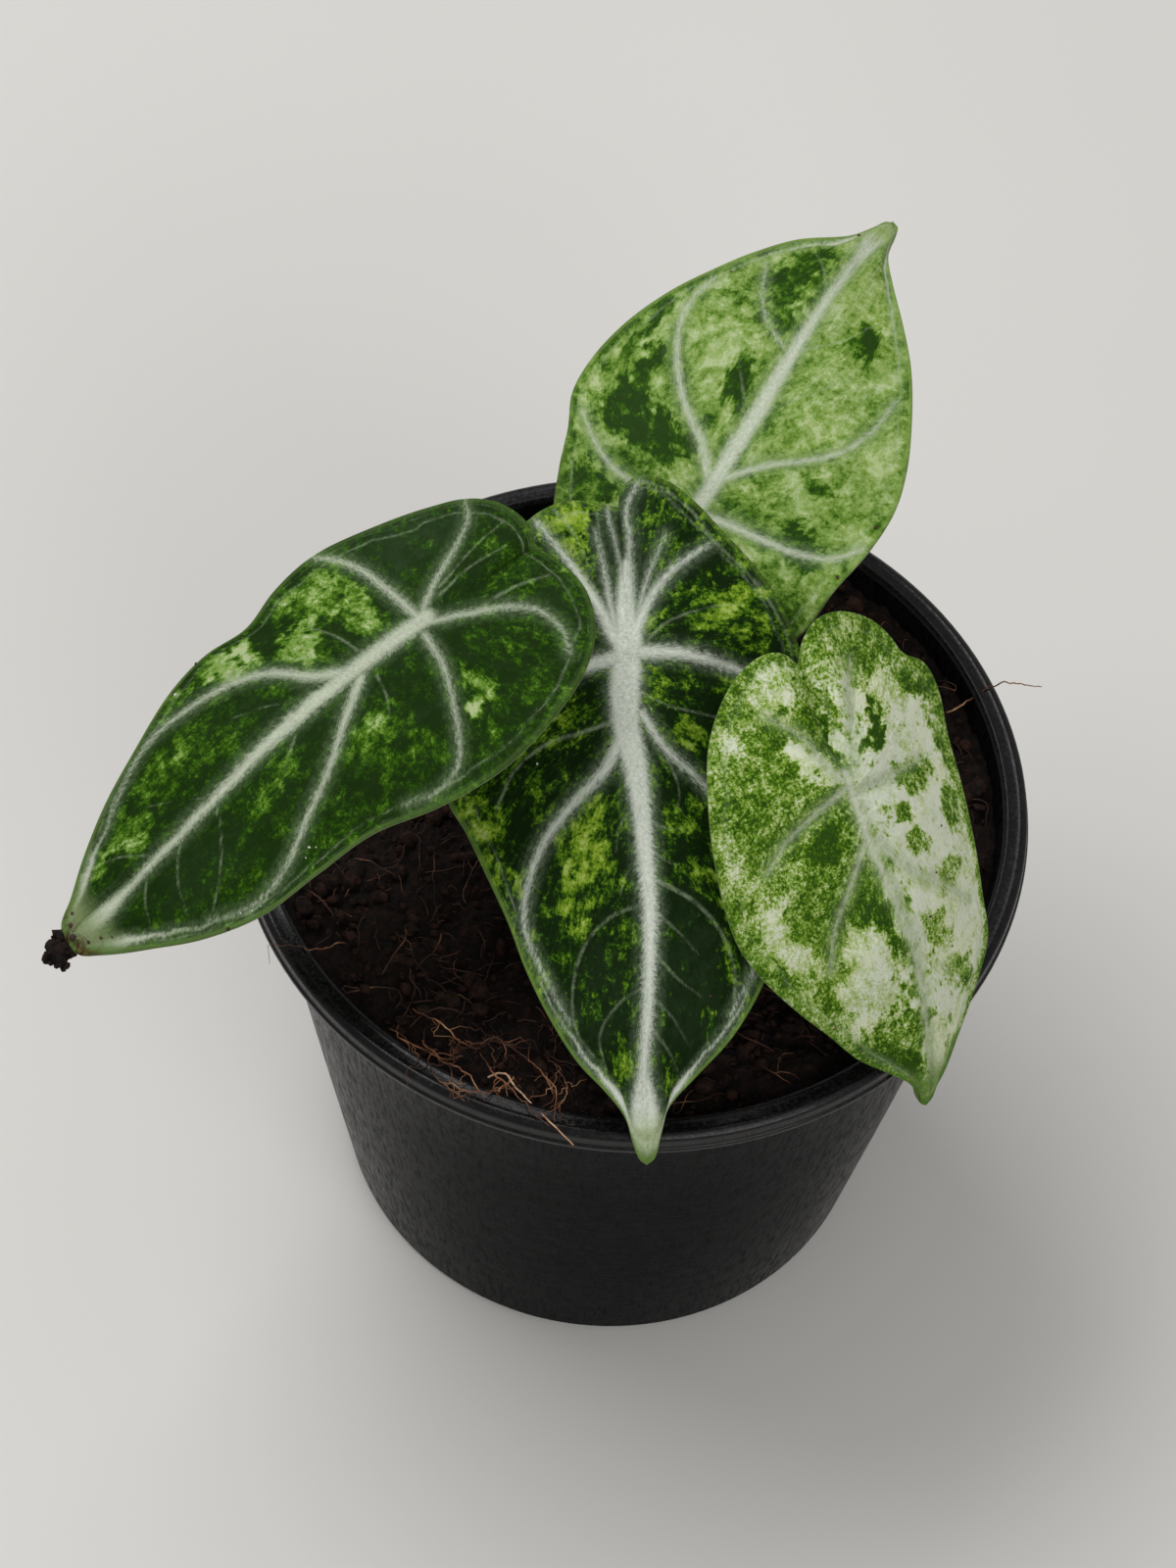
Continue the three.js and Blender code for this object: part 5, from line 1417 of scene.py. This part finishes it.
# Fibres that lean on the rim: radius at each end before scaling, number of hairs, and the points they pass
RIM_FIBRE_SCALE = 0.72
RIM_FIBRES = [
    (0.24, 0.12, 4, [(-27, -45, 92), (-24, -49.5, 95.4), (-20.4, -51.6, 96.6), (-17, -56.2, 95.7)]),
    (0.2, 0.1, 4, [(-19, -46, 92), (-15.6, -51, 95.6), (-11, -55.5, 96), (-7.4, -59, 95.2)]),
    (0.2, 0.08, 4, [(-17.6, -43.6, 92), (-12.4, -47.4, 94.6), (-8.4, -52.4, 96.4), (-6.6, -58.4, 95.6)]),
    (0.16, 0.08, 4, [(-32, -44, 92), (-28.6, -48, 95), (-24, -50.4, 96), (-21, -47.6, 93)]),
    (0.18, 0.08, 4, [(-13.4, -50, 92.4), (-15.8, -53.4, 95), (-19.4, -54.6, 96), (-22.6, -53, 95)]),
    (0.14, 0.06, 4, [(-8.6, -46, 92.4), (-5.4, -51, 94.6), (-5.8, -55.4, 95.7), (-8.8, -57.6, 95.5)]),
    (0.14, 0.06, 4, [(-25, -47, 92.4), (-25.8, -51, 95.2), (-23.4, -54.4, 95.8), (-19.8, -56.4, 95.3)]),
    (0.22, 0.14, 4, [(-21, -45, 93), (-18, -46.4, 95.4), (-15.4, -46, 96.4), (-14.6, -48.4, 95)]),
    (0.2, 0.1, 4, [(-29, -40, 92), (-25.4, -43.4, 95), (-22, -46.6, 96), (-18.4, -47, 94.6)]),
    (0.2, 0.1, 1, [(34, -35, 92.4), (38, -39.4, 94.6), (41, -41, 96), (44.4, -41.6, 95.4)]),
    (0.2, 0.1, 0, [(47, 22, 92.2), (51.6, 25, 95), (56.4, 26.4, 96.2), (61, 26, 95.8)]),
    (0.16, 0.08, 1, [(-40, -30, 92.2), (-44, -33, 94.8), (-47.4, -33.6, 95.7), (-50, -32, 95.3)]),
]
RIM_STRAWS = [
    (0.2, 0.16, 0, [(-13, -51.1, 91.8), (-11.1, -53.5, 93), (-7.35, -58.3, 95.5), (-3.6, -63, 97.6)]),
    (0.2, 0.24, 0, [(-17, -50.4, 92.4), (-15.4, -50.6, 94.2), (-14.2, -51.2, 95.2), (-13, -53.2, 95.8)]),
]


def make_rim_fibres(name, fibres, kink, material, steps=30):
    """Fibres by the rim, kinked, some with fine hairs split off them."""
    random = np.random.default_rng(61)
    parts = []
    for first, last, hairs, path in fibres:
        points = along_path(path, steps)
        kinks = np.cumsum(random.normal(0, kink, points.shape), axis=0)
        kinks -= np.linspace(0, 1, steps)[:, None] * kinks[-1]
        points = points + kinks * (0.9, 0.9, 0.35)
        radii = RIM_FIBRE_SCALE * np.linspace(first, last, steps) * random.uniform(0.75, 1.25, steps)
        parts.append(tube(points, radii, 6))
        for _ in range(hairs):
            at = random.integers(4, 22)
            heading = atan2(*(points[at + 3] - points[at])[1::-1]) + random.normal(0, 0.7)
            away = np.cumsum(np.full(8, random.uniform(0.3, 0.8)))
            turn = heading + np.cumsum(random.normal(0, 0.25, 8))
            hair = np.stack([away * np.cos(turn), away * np.sin(turn), random.uniform(-0.1, 0.12) * away], 1)
            parts.append(tube(points[at] + hair - hair[0], np.linspace(0.07, 0.035, 8), 4))
    return joined(name, parts, material)


def fibre_material(name, shades):
    """Coir strands in three shades, with darker flecks."""
    g = Graph(name)
    place = g.place()
    fleck = g.noise(place, 3, 3, 0.7)
    colour = g.ramp(g.noise(place, 0.16, 3, 0.6), [0.42, 0.56, 0.7], shades)
    colour = g.mix(g.smooth(fleck, 0.5, 0.7, 0, 0.5), colour, FIBRE_FLECK)
    roughness = g.smooth(fleck, 0.3, 0.7, 0.55, 0.8)
    g.set(Base_Color=colour, Roughness=roughness, Normal=g.bump(fleck, 0.08, 0.5))
    return g.material


# Grains of coir on the blades, and pale specks of dust and painted glints of light, as (leaf, u, v, radius)
GRAINS = [
    ("left", 29.2, 19.1, 0.26), ("left", 48.5, -15.4, 0.3), ("left", 64, -3.6, 0.34),
    ("left", 65.8, -2.6, 0.3), ("left", 65.2, 2.4, 0.3), ("left", 66.4, 1.0, 0.4),
    ("left", 67.2, -0.6, 0.5), ("left", 62.6, -4.6, 0.2), ("back", -4, -12, 0.24), ("back", 12, 24.9, 0.34),
    ("back", 2, 24, 0.3), ("back", 57.6, -2.8, 0.3), ("back", 40.6, -15.6, 0.22), ("right", 18, -9.4, 0.2),
    ("right", 20, -12, 0.18), ("right", 23, -6, 0.22), ("right", 30, -9, 0.2), ("right", 12, -13, 0.18),
    ("right", 33, 12.6, 0.24), ("centre", 50, -10, 0.16), ("centre", -2, -6.5, 0.18),
    ("centre", 13.6, 3.4, 0.16), ("centre", 39.4, 17.4, 0.22),
]
DUST_AND_GLINTS = [
    ("left", 34, 17.4, 0.28), ("left", 32.4, -14.6, 0.2), ("left", 33.6, -15.4, 0.16),
    ("left", 44.4, -15.8, 0.2), ("left", 46, -15, 0.15), ("left", 42.8, -16.2, 0.16),
    ("left", 31.6, -15.2, 0.14), ("centre", 15.8, 13.8, 0.18), ("centre", 8.6, -3, 0.16),
    ("right", 36.8, -12.2, 0.2), ("right", 35.4, -13, 0.16), ("right", 38, -10.8, 0.14),
]


def make_specks(name, specks, blades, material, seed):
    """Small lumps, each on the nearest point of a blade's top."""
    random = np.random.default_rng(seed)
    parts = []
    for leaf, u, v, radius in specks:
        mesh = blades[leaf].data
        count = len(mesh.vertices)
        flat, under, spots = np.empty(3 * count), np.empty(count), np.empty(3 * count)
        mesh.attributes["flat_place"].data.foreach_get("vector", flat)
        mesh.attributes["underside"].data.foreach_get("value", under)
        mesh.vertices.foreach_get("co", spots)
        away = np.hypot(flat[0::3] - u, flat[1::3] - v) + 100 * under
        nearest = int(np.argmin(away))
        spot = spots[3 * nearest:3 * nearest + 3] / MM + np.array([0, 0, radius * 0.3])
        sizes = radius * random.uniform(0.7, 1.2, 3)
        parts.append(lump(spot, sizes, random.uniform(0, pi, 2), random, 1, 0.35))
    return joined(name, parts, material)


def dust_and_glint_material():
    """Pale specks: mineral dust and dried water spots, and painted glints of light."""
    g = Graph("pale_dust_and_glints")
    fleck = g.noise(g.place(), 4, 3, 0.6)
    g.set(Base_Color=g.mix(fleck, *DUST_AND_GLINT_COLOURS), Roughness=0.7, Normal=g.bump(fleck, 0.05, 0.5))
    return g.material


# Camera, floor and light

CAMERA_TARGET_HEIGHT = 95
CAMERA_DISTANCE = 658
CAMERA_ELEVATION = 56.7
CAMERA_AIM = (0.61, 0.03)
CAMERA_ROLL = 5.66
CAMERA_LENS = 99.855
SENSOR_WIDTH = 36
FLOOR_REACH = 4000

# Lights, in metres: name, place, size and power
LIGHT_TARGET = (0, 0, 0.1)
LIGHTS = [
    ("key", (-0.35, 0.25, 0.9), (0.7, 0.5), 5.6),
    ("front", (0.45, -0.75, 0.7), (0.6, 0.6), 3.2),
]
STUDIO_COLOUR = (0.9, 0.9, 0.89, 1)
STUDIO_STRENGTH = 0.42


def make_camera():
    data = bpy.data.cameras.new("camera")
    data.lens = CAMERA_LENS
    data.sensor_width = SENSOR_WIDTH
    data.clip_start, data.clip_end = 0.01, 20
    camera = bpy.data.objects.new("camera", data)
    bpy.context.scene.collection.objects.link(camera)
    e = radians(CAMERA_ELEVATION)
    back, right = np.array([0, -cos(e), sin(e)]), np.array([1.0, 0, 0])
    up = np.cross(back, right)
    spot = back * CAMERA_DISTANCE + np.array([0, 0, CAMERA_TARGET_HEIGHT])
    aim_across, aim_up = (radians(a) for a in CAMERA_AIM)
    back, right = turned(back, up, aim_across), turned(right, up, aim_across)
    back, up = turned(back, right, aim_up), turned(up, right, aim_up)
    right, up = turned(right, back, radians(CAMERA_ROLL)), turned(up, back, radians(CAMERA_ROLL))
    rows = [[right[i], up[i], back[i], spot[i] * MM] for i in range(3)]
    camera.matrix_world = Matrix(rows + [[0, 0, 0, 1]])
    bpy.context.scene.camera = camera


def make_floor():
    g = Graph("floor")
    tint = g.noise(g.place(), 0.004, 3, 0.5)
    g.set(Base_Color=g.mix(tint, *FLOOR_COLOURS), Roughness=0.8)
    corners = [(x * FLOOR_REACH, y * FLOOR_REACH, 0) for x, y in ((-1, -1), (1, -1), (1, 1), (-1, 1))]
    new_object("floor", corners, [(0, 1, 2, 3)], g.material)


def make_light(name, place, size, power):
    data = bpy.data.lights.new(name, "AREA")
    data.shape = "RECTANGLE"
    data.size, data.size_y = size
    data.energy = power
    light = bpy.data.objects.new(name, data)
    bpy.context.scene.collection.objects.link(light)
    light.location = place
    light.rotation_mode = "QUATERNION"
    light.rotation_quaternion = (Vector(LIGHT_TARGET) - Vector(place)).to_track_quat("-Z", "Y")


def make_world():
    world = bpy.data.worlds.new("studio")
    world.use_nodes = True
    world.node_tree.nodes["Background"].inputs["Color"].default_value = STUDIO_COLOUR
    world.node_tree.nodes["Background"].inputs["Strength"].default_value = STUDIO_STRENGTH
    bpy.context.scene.world = world
    bpy.context.scene.view_settings.view_transform = "Standard"


def keep(piece, slot, *nodes):
    """Marks a finished piece: puts it under the root body and hides the nodes it stands for. The slot is not
    used.
    """
    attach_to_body(piece, "root")
    if nodes:
        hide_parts(*nodes)


make_camera()
make_floor()
make_world()
for light in LIGHTS:
    make_light(*light)

peat = soil_material("coir_peat", *PEAT_COLOURS)
crumbs = soil_material("peat_crumb", *CRUMB_COLOURS)
coir = fibre_material("coir_fibre", COIR_COLOURS)
straw = fibre_material("coir_straw", STRAW_COLOURS)
pale_straw = fibre_material("rim_straw", PALE_STRAW_COLOURS)
flesh = stem_material()

keep(make_pot(pot_material()), "pot_plastic", "pot")
keep(make_soil(peat), "soil", "soil")
keep(make_crumbs(crumbs), "soil")
keep(make_fibres("coir_fibres", coir, *LONG_FIBRES), "soil")
keep(make_fibres("coir_hairs", coir, *SHORT_HAIRS), "soil")
keep(make_rim_fibres("rim_fibres", RIM_FIBRES, kink=0.16, material=straw), "soil")
keep(make_rim_fibres("rim_straws", RIM_STRAWS, kink=0.03, material=pale_straw), "soil")
keep(make_tip_crumb(peat), "soil", "soil_crumb")

blades = {}
for number, (name, leaf) in enumerate(LEAVES.items()):
    blades[name] = make_blade("leaf_" + name, leaf, leaf_material(name, leaf), number + 1)
    keep(blades[name], leaf["slot"], "blade_" + name)
    keep(make_stem("stem_" + name, leaf, flesh, 50 + number), "petiole", "petiole_" + name)

keep(make_specks("leaf_grains", GRAINS, blades, coir, 31), "soil")
# Pale specks on the blades: dust, and painted glints of light
keep(make_specks("leaf_dust_and_glints", DUST_AND_GLINTS, blades, dust_and_glint_material(), 32), "blade_variegated")
